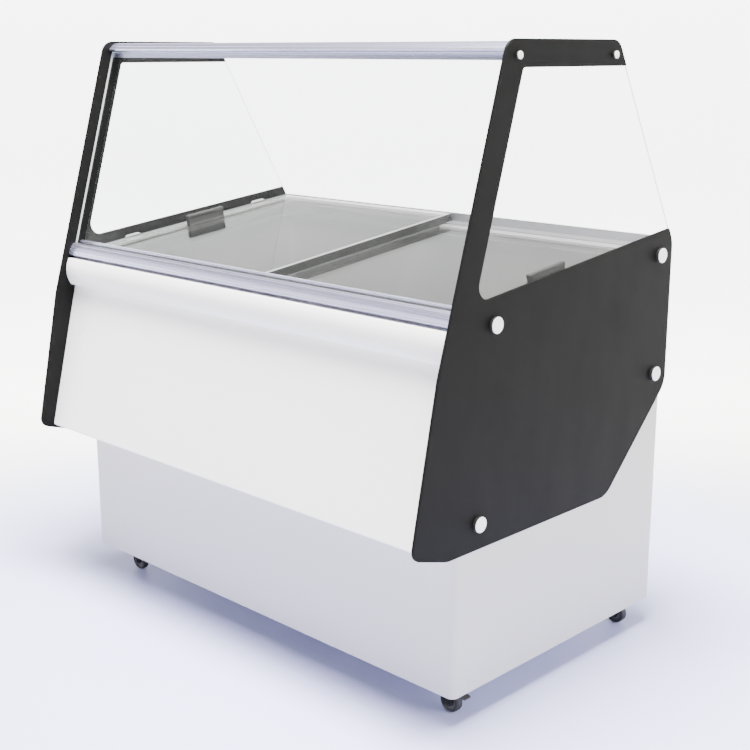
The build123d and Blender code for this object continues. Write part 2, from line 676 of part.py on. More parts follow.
def rear_grille():
    """Louvred cover of the compressor room, with places for the knob and the mains inlet."""
    plate = bar(*GRILLE_X, CABINET_DEPTH, CABINET_DEPTH + PLATE, *GRILLE_Z)
    corners = plate.edges().filter_by(Axis.Y)
    plate = fillet(corners, 6)
    count = int((GRILLE_Z[1] - GRILLE_Z[0] - 60) // LOUVRE_PITCH)
    for row in range(count):
        z = GRILLE_Z[0] + 34 + row * LOUVRE_PITCH
        for column in (240.0, 460.0, 680.0):
            slot = Pos(GRILLE_X[0] + column, CABINET_DEPTH, z) * Rot(-90, 0, 0) * SlotOverall(180, 7)
            plate = plate - extrude(slot, 3 * PLATE, both=True)
    plate = plate - rod(5.2, (KNOB_PLACE[0], CABINET_DEPTH - 1, KNOB_PLACE[1]),
                        (KNOB_PLACE[0], CABINET_DEPTH + 5, KNOB_PLACE[1]), "Y")
    x, z = INLET_PLACE
    plate = plate - bar(x - 14, x + 14, CABINET_DEPTH - 1, CABINET_DEPTH + 5, z - 10, z + 10)
    for x, z in grille_screw_places():
        plate = plate - rod(2.2, (x, CABINET_DEPTH - 1, z), (x, CABINET_DEPTH + 5, z), "Y")
    return plate


def grille_screw_places():
    xs = (GRILLE_X[0] + 7, sum(GRILLE_X) / 2, GRILLE_X[1] - 7)
    zs = (GRILLE_Z[0] + 7, GRILLE_Z[1] - 7)
    return [(x, z) for x in xs for z in zs]


def grille_screws():
    """Pan-head screws holding the grille on."""
    screws = []
    for x, z in grille_screw_places():
        face = CABINET_DEPTH + PLATE
        head = rod(4, (x, face, z), (x, face + 2, z), "Y")
        screws.append(head + rod(2, (x, CABINET_DEPTH, z), (x, face, z), "Y"))
    return group(screws)


def controller_box():
    """Thermostat housing clipped behind the grille, with the knob's shaft."""
    x, z = KNOB_PLACE
    box = bar(x - CONTROL_HALF, x + CONTROL_HALF, CABINET_DEPTH - 56, CABINET_DEPTH, *CONTROL_Z)
    box = fillet(box.edges().filter_by(Axis.Z), 4)
    return box + rod(3, (x, CABINET_DEPTH, z), (x, CABINET_DEPTH + PLATE + 7, z), "Y")


def thermostat_knob():
    """Fluted knob on the thermostat's shaft."""
    x, z = KNOB_PLACE
    face = CABINET_DEPTH + PLATE + FIT
    knob = rod(13, (x, face, z), (x, face + 12, z), "Y")
    for step in range(12):
        angle = math.radians(30 * step)
        cut = (x + 14.2 * math.cos(angle), z + 14.2 * math.sin(angle))
        knob = knob - rod(2.2, (cut[0], face + 2, cut[1]), (cut[0], face + 13, cut[1]), "Y")
    return knob - rod(3 + RUNNING, (x, face - 1, z), (x, face + 8, z), "Y")


def mains_inlet():
    """Appliance inlet snapped through the grille."""
    x, z = INLET_PLACE
    face = CABINET_DEPTH + PLATE
    body = bar(x - 13.7, x + 13.7, CABINET_DEPTH - 24, face, z - 9.7, z + 9.7)
    flange = bar(x - 20, x + 20, face, face + 3, z - 14, z + 14)
    recess = bar(x - 11, x + 11, face - 16, face + 4, z - 7, z + 7)
    pins = [bar(x + dx - 1, x + dx + 1, face - 16, face - 3, z - 2, z + 2) for dx in (-6, 0, 6)]
    inlet = body + flange - recess
    for pin in pins:
        inlet = inlet + pin
    return inlet


def compressor():
    """Welded shell on a foot plate, with a terminal box and two line stubs."""
    x, y = COMPRESSOR
    radius = COMPRESSOR_RADIUS
    low = FEET_HEIGHT + PAN_SHEET
    can = Pos(x, y, low + 4) * Cylinder(radius, 150, align=(Align.CENTER, Align.CENTER, Align.MIN))
    can = fillet(can.edges().filter_by(GeomType.CIRCLE), 34)
    seam = rod(radius + 3, (x, y, low + 84), (x, y, low + 90))
    feet = fillet(bar(x - 100, x + 100, y - 62, y + 62, low, low + 5).edges().filter_by(Axis.Z), 14)
    terminal = fillet(bar(x - 26, x + 26, y + radius - 8, y + radius + 24, low + 50, low + 110).edges(), 4)
    stub_out = rod(5, (x + radius - 8, y, low + 70), (x + radius + 14, y, low + 70), "X")
    stub_in = rod(5, (x, y - radius - 14, low + 60), (x, y - radius + 8, low + 60), "Y")
    return can + seam + feet + terminal + stub_out + stub_in


def compressor_grommets():
    """Four rubber feet between the base pan and the compressor's foot plate."""
    x, y = COMPRESSOR
    return group([
        rod(12, (x + dx, y + dy, PAN_SHEET), (x + dx, y + dy, FEET_HEIGHT + PAN_SHEET))
        for dx in (-84, 84) for dy in (-46, 46)
    ])


def refrigerant_lines():
    """Copper discharge line to the condenser and suction line up into the foam."""
    x, y = COMPRESSOR
    level = FEET_HEIGHT + PAN_SHEET + 70
    low = level - 10
    start = x + COMPRESSOR_RADIUS + 14
    out_run = FilletPolyline(
        (start, y, level), (start + 70, y, level), (start + 70, CONDENSER_Y[0] + 20, level),
        (CONDENSER_X[0], CONDENSER_Y[0] + 20, level), radius=24,
    )
    in_run = FilletPolyline(
        (x, y - COMPRESSOR_RADIUS - 14, low), (x, y - COMPRESSOR_RADIUS - 60, low),
        (x, y - COMPRESSOR_RADIUS - 60, MACHINE_HEIGHT), radius=24,
    )
    out_line = sweep(Plane(out_run @ 0, z_dir=out_run % 0) * Circle(4), path=out_run)
    in_line = sweep(Plane(in_run @ 0, z_dir=in_run % 0) * Circle(4), path=in_run)
    return group([out_line, in_line])


def condenser():
    """Finned block with end plates."""
    x0, x1 = CONDENSER_X
    y0, y1 = CONDENSER_Y
    z0, z1 = CONDENSER_Z
    block = bar(x0, x1, y0 + 4, y1 - 4, z0, z1)
    fins = 24
    pitch = (x1 - x0 - 12) / fins
    for side in (0, 1):
        y_from, y_to = ((y0 - 1, y0 + 12), (y1 - 12, y1 + 1))[side]
        for step in range(fins):
            x = x0 + 6 + pitch * step
            block = block - bar(x + pitch * 0.3, x + pitch, y_from, y_to, z0 + 6, z1 - 6)
    foot = bar(x0, x1, y0, y1, PAN_SHEET, z0)
    return block + foot


def fan_centre():
    return (sum(CONDENSER_X) / 2, sum(CONDENSER_Z) / 2)


def fan_shroud():
    """Square cowl in front of the condenser with a round throat and motor spider."""
    x, z = fan_centre()
    y1 = CONDENSER_Y[0]
    y0 = y1 - 46
    plate = bar(CONDENSER_X[0], CONDENSER_X[1], y1 - 34, y1, CONDENSER_Z[0], CONDENSER_Z[1])
    plate = plate - rod(FAN_THROAT, (x, y0 - 2, z), (x, y1 + 1, z), "Y")
    spider = bar(x - 6, x + 6, y0, y1 - 34, CONDENSER_Z[0], CONDENSER_Z[1])
    spider = spider + bar(*CONDENSER_X, y0, y1 - 34, z - 6, z + 6)
    spider = spider - rod(FAN_MOTOR, (x, y0 - 1, z), (x, y1, z), "Y")
    return plate + spider


def fan_motor():
    """Small shaded-pole motor held by the spider, with its shaft."""
    x, z = fan_centre()
    y = CONDENSER_Y[0] - 46
    body = rod(FAN_MOTOR, (x, y - 30, z), (x, y + 12, z), "Y")
    return body + rod(3, (x, y + 12, z), (x, y + 34, z), "Y")


def fan_rotor():
    """Five-bladed fan on the motor's shaft."""
    x, z = fan_centre()
    y = CONDENSER_Y[0] - 46 + 17
    hub = rod(FAN_HUB, (x, y, z), (x, y + 18, z), "Y")
    root, tip = FAN_HUB - 4, FAN_THROAT - FAN_GAP
    for step in range(5):
        blade = Pos(0, 0, (root + tip) / 2) * Rot(0, 0, 28) * Box(46, 2.2, tip - root)
        hub = hub + Pos(x, y + 9, z) * Rot(0, 72 * step, 0) * blade
    return hub - rod(3 + RUNNING, (x, y - 1, z), (x, y + 30, z), "Y")


def drain_tube():
    """Straight drain from the tub floor down through the base pan, ending in a hose spigot."""
    start, bore = -2.0, DRAIN_RADIUS - 1
    tube = drain_hole(DRAIN_RADIUS + DRAIN_WALL - FIT, start, TUB_FLOOR)
    spigot = drain_hole(bore + SPIGOT_WALL, start - SPIGOT_LENGTH, start)
    return tube + spigot - drain_hole(bore, start - SPIGOT_LENGTH - 1, TUB_FLOOR + 1)


def drain_plug():
    """Stopper with a finger ring, lifted out of the tub floor."""
    x, y = DRAIN
    floor = TUB_FLOOR + LINER
    head = rod(DRAIN_RADIUS + 5, (x, y, floor), (x, y, floor + 4))
    stem = rod(DRAIN_RADIUS - 1 - RUNNING, (x, y, TUB_FLOOR - 12), (x, y, floor))
    grip = bar(x - 9, x + 9, y - 2, y + 2, floor + 4, floor + 18)
    hole = rod(4, (x, y - 3, floor + 12), (x, y + 3, floor + 12), "Y")
    return head + stem + grip - hole


# ---- casters -------------------------------------------------------------------------
FORK_TOP = -9.5
FORK_PLATE = 2.8
WHEEL_Z = FORK_TOP - FORK_PLATE - WHEEL_GAP - WHEEL_RADIUS
CASTER_HEIGHT = WHEEL_RADIUS - WHEEL_Z
LEG = 2.6
LEG_GAP = WHEEL_WIDTH / 2 + 1.0
PEDAL_PIVOT = (CASTER_TRAIL + 17.0, FORK_TOP - 4.5)


def caster_places():
    x = SIDE_X - CASTER_INSET_X
    front, rear = CASTER_INSET_Y, CABINET_DEPTH - CASTER_INSET_Y
    return {
        "front_left": (-x, front), "front_right": (x, front),
        "rear_left": (-x, rear), "rear_right": (x, rear),
    }


def caster_plates():
    """Top plates with their bearing housings and kingpins, screwed under the base pan."""
    plates = []
    under = FORK_TOP - FORK_PLATE
    for x, y in caster_places().values():
        plate = bar(x - 30, x + 30, y - 30, y + 30, -3, 0)
        plate = fillet(plate.edges().filter_by(Axis.Z), 8)
        plate = plate + rod(17, (x, y, FORK_TOP + 0.2), (x, y, -3))
        pin = rod(KINGPIN_RADIUS, (x, y, under - 0.4), (x, y, PAN_SHEET))
        rivet = rod(KINGPIN_RADIUS + 1.5, (x, y, under - 1.6), (x, y, under - 0.3))
        plates.append(plate + pin + rivet)
    return group(plates)


def caster_fork(x, y):
    """Swivelling yoke: top plate and two legs, with the axle bolt across them."""
    top = FORK_TOP - FORK_PLATE
    plate = rod(19, (x, y, top), (x, y, FORK_TOP))
    bridge = bar(x, x + CASTER_TRAIL + 4, y - LEG_GAP - LEG, y + LEG_GAP + LEG, top, FORK_TOP)
    yoke = plate + bridge - rod(KINGPIN_RADIUS + RUNNING, (x, y, top - 1), (x, y, 0))
    ax, az = x + CASTER_TRAIL, WHEEL_Z
    leg_face = polygon(
        (x - 8, FORK_TOP), (x + PEDAL_PIVOT[0] + 6, FORK_TOP), (x + PEDAL_PIVOT[0] + 6, FORK_TOP - 9, 3),
        (ax + 9, az - 8, 8), (ax - 9, az - 8, 8),
    )
    for side in (-1, 1):
        y0 = y + side * (LEG_GAP + LEG / 2)
        leg = extrude(Plane.XZ.offset(-(y0 + LEG / 2)) * leg_face, LEG)
        leg = leg - rod(AXLE_RADIUS + RUNNING, (ax, y0 - 5, az), (ax, y0 + 5, az), "Y")
        px, pz = x + PEDAL_PIVOT[0], PEDAL_PIVOT[1]
        leg = leg - rod(2 + RUNNING, (px, y0 - 5, pz), (px, y0 + 5, pz), "Y")
        yoke = yoke + leg
    reach = LEG_GAP + LEG
    axle = rod(AXLE_RADIUS, (ax, y - reach - 2, az), (ax, y + reach + 2, az), "Y")
    for side in (-1, 1):
        head = (ax, y + side * reach, az), (ax, y + side * (reach + 2.5), az)
        axle = axle + rod(AXLE_RADIUS + 2.5, *head, "Y")
    return group([yoke, axle])


def caster_wheel(x, y):
    """Wheel with a crowned tread, dished sides and an axle bore."""
    half = WHEEL_WIDTH / 2
    outline = polygon(
        (AXLE_RADIUS + RUNNING, -half), (9, -half), (10, -half + 3), (17, -half + 3), (18, -half),
        (WHEEL_RADIUS, -half, 3), (WHEEL_RADIUS, half, 3), (18, half), (17, half - 3), (10, half - 3),
        (9, half), (AXLE_RADIUS + RUNNING, half),
    )
    wheel = revolve(outline, Axis.Y)
    return Pos(x + CASTER_TRAIL, y, WHEEL_Z) * wheel


def brake_pedal(x, y):
    """Foot lever on a cross pin behind the wheel."""
    px, pz = x + PEDAL_PIVOT[0], PEDAL_PIVOT[1]
    width = LEG_GAP - 0.6
    pin = rod(2, (px, y - LEG_GAP - LEG, pz), (px, y + LEG_GAP + LEG, pz), "Y")
    boss = rod(3.4, (px, y - width, pz), (px, y + width, pz), "Y")
    profile = polygon(
        (px - 2, pz + 0.5), (px + 12, pz - 1), (px + 26, pz - 5), (px + 27, pz - 9), (px + 12, pz - 5),
        (px, pz - 3.3),
    )
    tread = extrude(Plane.XZ.offset(-(y + width)) * profile, 2 * width)
    return pin + boss + tread


# ---- assembly ------------------------------------------------------------------------
def nodes():
    shapes = {
        "cabinet_shell": cabinet_shell(),
        "base_pan": base_pan(),
        "insulation_foam": insulation_foam(),
        "inner_liner": inner_liner(),
        "front_track": front_track(),
        "rear_track": rear_track(),
        "right_end_rail": end_rail(),
        "left_end_rail": mirrored(end_rail()),
        "lid_buffers": lid_buffers(),
        "right_side_panel": side_panel(),
        "left_side_panel": mirrored(side_panel()),
        "right_side_window": side_window(),
        "left_side_window": mirrored(side_window()),
        "front_glass": front_glass(),
        "glass_gasket": glass_gasket(),
        "front_top_rail": front_top_rail(),
        "rear_top_rail": rear_top_rail(),
        "sill_profile": sill_profile(),
        "bumper_profile": bumper_profile(),
        "front_cladding": front_cladding(),
        "cladding_brackets": cladding_brackets(),
        "rear_grille": rear_grille(),
        "grille_screws": grille_screws(),
        "controller_box": controller_box(),
        "thermostat_knob": thermostat_knob(),
        "mains_inlet": mains_inlet(),
        "compressor": compressor(),
        "compressor_grommets": compressor_grommets(),
        "refrigerant_lines": refrigerant_lines(),
        "condenser": condenser(),
        "fan_shroud": fan_shroud(),
        "fan_motor": fan_motor(),
        "fan_rotor": fan_rotor(),
        "drain_tube": drain_tube(),
        "drain_plug": drain_plug(),
        "caster_plates": caster_plates(),
    }
    shapes.update(panel_fixings())
    shapes.update(lids())
    for name, (x, y) in caster_places().items():
        shapes["caster_fork_" + name] = caster_fork(x, y)
        shapes["caster_wheel_" + name] = caster_wheel(x, y)
        if name.startswith("front"):
            shapes["brake_pedal_" + name] = brake_pedal(x, y)
    return shapes


def place(shapes):
    """Moves the model so that it stands on z = 0 with its depth centred on the origin."""
    front = min(shape.bounding_box().min.Y for shape in shapes.values())
    rear = max(shape.bounding_box().max.Y for shape in shapes.values())
    move = Pos(0, -(front + rear) / 2, CASTER_HEIGHT)
    return {name: move * shape for name, shape in shapes.items()}


os.makedirs("parts", exist_ok=True)
for node, shape in place(nodes()).items():
    export_step(shape, f"parts/{node}.step")
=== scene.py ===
# %% [markdown]
# # A display freezer with a glass canopy
#
# This lesson dresses a working model of a chest freezer, the kind that ice cream is served
# from. The model says where every part is and how it moves. Here each part gets a finished
# surface: white powder coat, black enamel, anodised extrusions, glass, rubber and plastic.
# Shapes are worked out in millimetres, counted from the middle of the cabinet's front foot,
# where the drawings start.

# %% Load the frame
import math

import bpy
import numpy as np
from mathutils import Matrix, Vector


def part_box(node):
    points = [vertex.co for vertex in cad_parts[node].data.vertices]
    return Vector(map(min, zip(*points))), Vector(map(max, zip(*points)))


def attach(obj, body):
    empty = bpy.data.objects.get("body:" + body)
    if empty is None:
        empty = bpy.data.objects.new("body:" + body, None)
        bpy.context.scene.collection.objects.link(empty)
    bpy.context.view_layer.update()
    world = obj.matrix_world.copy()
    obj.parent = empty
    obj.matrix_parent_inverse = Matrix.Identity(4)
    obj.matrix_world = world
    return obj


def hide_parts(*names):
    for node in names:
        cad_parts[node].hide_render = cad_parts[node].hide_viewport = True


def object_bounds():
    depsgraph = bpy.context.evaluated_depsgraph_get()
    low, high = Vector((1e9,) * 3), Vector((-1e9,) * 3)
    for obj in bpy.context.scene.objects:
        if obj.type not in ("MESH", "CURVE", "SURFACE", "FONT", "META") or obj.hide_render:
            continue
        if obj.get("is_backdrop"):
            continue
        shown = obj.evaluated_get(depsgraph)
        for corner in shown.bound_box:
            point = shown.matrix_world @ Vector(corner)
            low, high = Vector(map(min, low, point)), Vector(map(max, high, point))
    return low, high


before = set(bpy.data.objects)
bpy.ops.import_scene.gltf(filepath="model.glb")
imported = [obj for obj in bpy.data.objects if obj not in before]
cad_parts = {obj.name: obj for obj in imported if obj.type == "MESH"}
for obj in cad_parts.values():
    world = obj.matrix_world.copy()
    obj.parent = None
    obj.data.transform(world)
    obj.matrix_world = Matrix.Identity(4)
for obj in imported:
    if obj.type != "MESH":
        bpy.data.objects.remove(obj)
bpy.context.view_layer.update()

MM = 0.001
foot_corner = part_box("cabinet_shell")[0]
ORIGIN = np.array([0.0, foot_corner[1], foot_corner[2]])
print("nodes:", len(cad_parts), "cabinet front foot at", ORIGIN.round(4))

# %% [markdown]
# ## Points into pieces
#
# Almost every part of a freezer is a sheet, an extrusion or something turned on a lathe. All
# three are rings of points joined one after another, so one helper makes the mesh and the rest
# of the lesson only works out rings. A shell's volume, added up from its faces, shows whether
# the faces point outwards. If the sum is negative, they are turned round.

# %% Rings into shells, shells into pieces
def loft(rings, closed=False):
    """Joins rings, an array (stations, points, xyz), into a closed shell.

    Face k of station i spans points k and k + 1 of rings i and i + 1. The first and last
    rings are filled, unless closed joins the last one to the first. Kind 0 marks the joining
    faces and kind 1 the two fillings.
    """
    stations, count = rings.shape[:2]
    index = np.arange(stations * count).reshape(stations, count)
    after = np.roll(index, -1, axis=0) if closed else index[1:]
    here = index if closed else index[:-1]
    quads = np.stack([here, np.roll(here, -1, 1), np.roll(after, -1, 1), after], -1).reshape(-1, 4)
    ends = [] if closed else [index[0, ::-1], index[-1]]
    points = rings.reshape(-1, 3)
    if volume(points, quads, ends) < 0:
        quads = quads[:, ::-1]
        ends = [end[::-1] for end in ends]
    kinds = [0] * len(quads) + [1] * len(ends)
    return points, quads.tolist() + [end.tolist() for end in ends], kinds


def volume(points, quads, ends):
    """Sum of the pyramids from the first point to each triangle of a face: a . (b x c) / 6."""
    shifted = points - points[0]
    a, b, c, d = (shifted[quads[:, k]] for k in range(4))
    total = np.einsum("ij,ij", a, np.cross(b, c)) + np.einsum("ij,ij", a, np.cross(c, d))
    for end in ends:
        fan = shifted[end]
        total += np.sum(np.cross(fan[1:-1], fan[2:]) @ fan[0])
    return total / 6


def moved(shell, change):
    """The shell with its points passed through a function.

    The corner of a unit cube goes through it too. A negative determinant of its three edges
    means a mirror image, and then every face is turned round.
    """
    points, faces, kinds = shell
    after = change(points)
    probe = change(np.array([[0, 0, 0], [1, 0, 0], [0, 1, 0], [0, 0, 1]], float))
    if np.linalg.det(probe[1:] - probe[0]) < 0:
        faces = [face[::-1] for face in faces]
    return after, faces, kinds


def piece(name, shells, finishes, body="cabinet", stands_for=(), sharp=32):
    """Makes one mesh object from shells and says which body it rides on.

    The finishes follow the kinds of face. An edge sharper than the given angle stays crisp.
    """
    points, faces, kinds, start = [], [], [], 0
    for shell_points, shell_faces, shell_kinds in shells:
        points.append(shell_points)
        faces += [[start + k for k in face] for face in shell_faces]
        kinds += shell_kinds
        start += len(shell_points)
    mesh = bpy.data.meshes.new(name)
    mesh.from_pydata((np.concatenate(points) * MM + ORIGIN).tolist(), [], faces)
    for finish in finishes:
        mesh.materials.append(finish.material)
    if len(finishes) > 1:
        mesh.polygons.foreach_set("material_index", kinds)
    mesh.polygons.foreach_set("use_smooth", [True] * len(faces))
    mesh.set_sharp_from_angle(angle=math.radians(sharp))
    made = bpy.data.objects.new(name, mesh)
    bpy.context.scene.collection.objects.link(made)
    weigh = made.modifiers.new("flat faces stay flat", "WEIGHTED_NORMAL")
    weigh.keep_sharp = True
    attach(made, body)
    if stands_for:
        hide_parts(*stands_for)
    print(f"{name}: {len(faces)} faces on {body}")
    return made


# %% [markdown]
# ## Outlines
#
# A drawing gives a shape by its corners and the radius at each. Rounding a corner means
# walking back along both sides by radius times the tangent of half the turn, and joining the
# two places with an arc. The same outline can then be set in by a small distance, which gives
# a sheet an eased edge that catches the light as a real one does.

# %% Rounded outlines, plates and turned shapes
STRAIGHT = 1e-3


def outline(*corners, step=9.0):
    """Closed outline through (u, v, radius) corners, each rounded by an arc.

    The arc starts at corner - before * t and ends at corner + after * t, with
    t = radius * tan(turn / 2), and has one point for every step degrees of turn.
    """
    spots = np.array([corner[:2] for corner in corners], float)
    radii = [corner[2] if len(corner) > 2 else 0 for corner in corners]
    before = spots - np.roll(spots, 1, axis=0)
    before /= np.linalg.norm(before, axis=1, keepdims=True)
    after = np.roll(before, -1, axis=0)
    cross = before[:, 0] * after[:, 1] - before[:, 1] * after[:, 0]
    turns = np.arctan2(cross, (before * after).sum(1))
    pieces = []
    for spot, way, turn, radius in zip(spots, before, turns, radii):
        if radius == 0 or abs(turn) < STRAIGHT:
            pieces.append(spot[None])
            continue
        side = np.array([-way[1], way[0]]) * np.sign(turn)
        start = spot - way * radius * math.tan(abs(turn) / 2)
        count = max(3, int(abs(math.degrees(turn)) / step) + 2)
        sweep = np.linspace(0, abs(turn), count)[:, None]
        pieces.append(start + way * radius * np.sin(sweep) + side * radius * (1 - np.cos(sweep)))
    return np.concatenate(pieces)


def inset(shape, distance):
    """The outline moved inwards: each point along the mitre of its two edges' normals."""
    ahead = np.roll(shape, -1, axis=0) - shape
    ahead /= np.linalg.norm(ahead, axis=1, keepdims=True)
    behind = np.roll(ahead, 1, axis=0)
    x, y = shape.T
    turn = np.sign(np.sum(x * np.roll(y, -1) - np.roll(x, -1) * y))
    normal = np.stack([-(ahead + behind)[:, 1], (ahead + behind)[:, 0]], 1) * turn
    return shape + normal * distance / (1 + (ahead * behind).sum(1))[:, None]


# Where (u, v, along) go in (x, y, z), for each axis that a shape is carried along.
AXES = {"x": (2, 0, 1), "y": (0, 2, 1), "z": (0, 1, 2)}


def plate(shape, low, high, edge=0.4, axis="x", steps=3):
    """A flat shape carried from low to high along an axis, with its rims eased.

    At angle a, from 0 to 90 degrees, a ring is set in by edge * (1 - sin a) and stands
    edge * (1 - cos a) away from the face.
    """
    angle = np.linspace(0, math.pi / 2, steps + 1)
    depth, rise = edge * (1 - np.sin(angle)), edge * (1 - np.cos(angle))
    half = [(d, low + r) for d, r in zip(depth, rise)]
    other = [(d, high - r) for d, r in zip(depth[::-1], rise[::-1])]
    rings = [
        np.column_stack([inset(shape, d) if d else shape, np.full(len(shape), w)])
        for d, w in half + other]
    return loft(np.stack(rings)[:, :, AXES[axis]])


def turned(profile, centre, axis="x", count=48, ring=False):
    """A profile of (radius, height) turned about an axis.

    At angle a, a point goes to (radius cos a, radius sin a) across the axis and to height
    along it. A ring is open in the middle, so its last point joins its first.
    """
    radius, height = np.array(profile, float).T
    angle = np.linspace(0, 2 * math.pi, count, endpoint=False)
    across = radius[:, None] * np.cos(angle), radius[:, None] * np.sin(angle)
    grid = np.stack([*across, np.broadcast_to(height[:, None], across[0].shape)], -1)
    return loft(grid[:, :, AXES[axis]] + np.array(centre, float), closed=ring)


def mirrored(shell):
    """The shell on the other side of the middle plane."""
    return moved(shell, lambda p: p * np.array([-1.0, 1.0, 1.0]))


def as_drawn(shell):
    """The shell as it is, for the side that the drawings show."""
    return shell


sample = plate(outline((0, 0, 5), (50, 0, 5), (50, 30, 5), (0, 30, 5)), 0, 10)
print("a 50 x 30 x 10 plate has", len(sample[0]), "points and", len(sample[1]), "faces")

# %% [markdown]
# ## Shader arithmetic
#
# A finish is a base shader with a few things that vary over the surface. Written with nodes
# and links by hand, even "noise times a tenth plus a third" is hard to read, so a small class
# lets shader sockets be added and multiplied like numbers. A value that is the same all over
# goes straight onto the shader.

# %% Wires and finishes
class Wire:
    """The output of a shader node. Arithmetic on it adds Math nodes."""

    def __init__(self, finish, socket):
        self.finish, self.socket = finish, socket

    def math(self, operation, first, second):
        return self.finish.node("Math", {"operation": operation}, {0: first, 1: second})

    def __add__(self, other):
        return self.math("ADD", self, other)

    def __mul__(self, other):
        return self.math("MULTIPLY", self, other)

    def __pow__(self, other):
        return self.math("POWER", self, other)

    __radd__ = __add__
    __rmul__ = __mul__


class Finish:
    """A material: one principled shader with fixed values, and nodes for what varies."""

    def __init__(self, name, **fixed):
        self.material = bpy.data.materials.new(name)
        self.material.use_nodes = True
        self.tree = self.material.node_tree
        self.shader = self.tree.nodes["Principled BSDF"]
        for title, value in fixed.items():
            self.shader.inputs[title.replace("_", " ")].default_value = value

    def join(self, value, socket):
        """Links a wire to a socket, or sets the socket to a value."""
        if isinstance(value, Wire):
            self.tree.links.new(value.socket, socket)
        else:
            socket.default_value = value

    def node(self, kind, settings=None, sockets=None, output=0):
        """Adds a node: its settings first, then the values or wires of its sockets."""
        made = self.tree.nodes.new("ShaderNode" + kind)
        for name, value in (settings or {}).items():
            setattr(made, name, value)
        for key, value in (sockets or {}).items():
            self.join(value, made.inputs[key])
        return Wire(self, made.outputs[output])

    def feed(self, **wires):
        """Links wires to the shader's sockets of the same names."""
        for title, wire in wires.items():
            self.join(wire, self.shader.inputs[title.replace("_", " ")])
        return self

    def grain(self, size, stretch=(1, 1, 1), detail=2.0, seed=0.0):
        """Noise from 0 to 1 whose lumps are size millimetres across, drawn out by stretch."""
        place = self.node("TexCoord", output="Object")
        scale = [1 / (size * MM * s) for s in stretch]
        shift = (seed, seed, seed)
        spread = self.node("Mapping", {}, {"Vector": place, "Scale": scale, "Location": shift})
        return self.node("TexNoise", {}, {"Vector": spread, "Scale": 1.0, "Detail": detail})

    def cells(self, size, output):
        """Voronoi cells size millimetres across: distance to their middles, or a colour each."""
        place = self.node("TexCoord", output="Object")
        return self.node("TexVoronoi", {}, {"Vector": place, "Scale": 1 / (size * MM)}, output)

    def blend(self, amount, first, second):
        """Colour between first, at 0, and second, at 1."""
        return self.node("Mix", {"data_type": "RGBA"}, {0: amount, 6: first, 7: second}, output=2)

    def bump(self, height, rise, strength=1.0):
        """Surface normal over a height of 0 to 1 that stands rise millimetres."""
        return self.node(
            "Bump", {}, {"Height": height, "Distance": rise * MM, "Strength": strength})


def tone(value, tint=(1, 1, 1)):
    """A colour from a grey level and a slight tint."""
    return (value * tint[0], value * tint[1], value * tint[2], 1.0)


print("a mid grey is", tone(0.5))

# %% [markdown]
# ## Coats and metals
#
# Powder coat is a thick plastic skin with a faint orange peel. It is never one exact white:
# over a metre it drifts by a percent, and it gets a little duller where hands and mops
# touch it. Enamel is thinner and levels out, so it has a finer peel. An extrusion carries die
# lines along its whole length, and anodising gives it a cool cast.

# %% White coat and black enamel
def powder_coat(name, light, tint, peel=1.4, rough=0.3):
    """Drift in the white, orange peel with faint upright spray lines, and duller worn spots."""
    coat = Finish(name, Coat_Weight=0.25, Coat_Roughness=0.12)
    drift = coat.grain(420, detail=2)
    colour = coat.blend(drift, tone(light * 0.965, tint), tone(light, tint))
    lines = coat.grain(1.1, stretch=(1, 1, 90), detail=1, seed=3.0)
    skin = coat.grain(peel, detail=1) * 0.7 + lines * 0.3
    wear = coat.grain(90, detail=4, seed=7.0)
    return coat.feed(
        Base_Color=colour, Roughness=wear * 0.12 + rough, Normal=coat.bump(skin, 0.02))


WARM, PLAIN = (1.0, 0.985, 0.96), (1.0, 1.0, 1.0)
# The cabinet sheet's white is set down to 0.47, against 0.88 for the cladding: painted shade,
# standing in for the shade under the cladding's overhang.
cabinet_coat_painted_shade = powder_coat("white_coat_painted_shade", 0.47, WARM)
cladding_white = powder_coat("white_cladding_coat", 0.88, PLAIN)
grille_white = powder_coat("white_grille_coat", 0.82, PLAIN, peel=1.0)
bumper_white = powder_coat("white_bumper_plastic", 0.84, (0.99, 0.99, 1.0), peel=2.2, rough=0.24)
cap_white = powder_coat("white_cap_plastic", 0.85, PLAIN, peel=0.8, rough=0.22)


def enamel(name, light, rough=0.46):
    """A dull black with a paler haze in patches and smears drawn out upright."""
    coat = Finish(name, Specular_IOR_Level=0.06)
    haze = coat.grain(140, detail=3)
    colour = coat.blend(haze, tone(light, (1, 0.99, 0.96)), tone(light * 1.5, (1, 0.99, 0.97)))
    peel = coat.grain(0.9, detail=1)
    smear = coat.grain(60, stretch=(1, 1, 2.5), detail=4, seed=2.0)
    return coat.feed(
        Base_Color=colour, Roughness=smear * 0.14 + rough, Normal=coat.bump(peel, 0.012))


panel_black = enamel("black_panel_enamel", 0.0038)
steel_black = enamel("black_steel_paint", 0.012, rough=0.28)
print("white coats and black enamel on", len(bpy.data.materials), "materials")


# %% Anodised extrusions and plain metals
def extrusion(name, light, tint, rough, along=(400, 1, 1)):
    """Fine die lines drawn out along X, and a slow cloud in the anodised colour."""
    metal = Finish(name, Metallic=0.9)
    lines = metal.grain(0.7, stretch=along, detail=3)
    cloud = metal.grain(160, detail=2, seed=5.0)
    colour = metal.blend(lines * 0.5 + cloud * 0.5, tone(light * 0.92, tint), tone(light, tint))
    return metal.feed(
        Base_Color=colour, Roughness=lines * 0.12 + rough, Normal=metal.bump(lines, 0.012))


lavender_metal = extrusion("anodised_lavender_grey", 0.62, (0.88, 0.885, 1.2), 0.2)
bright_metal = extrusion("anodised_pale_bar", 0.9, PLAIN, 0.22)
track_grey = extrusion("anodised_track", 0.36, (0.98, 0.98, 1.05), 0.34)


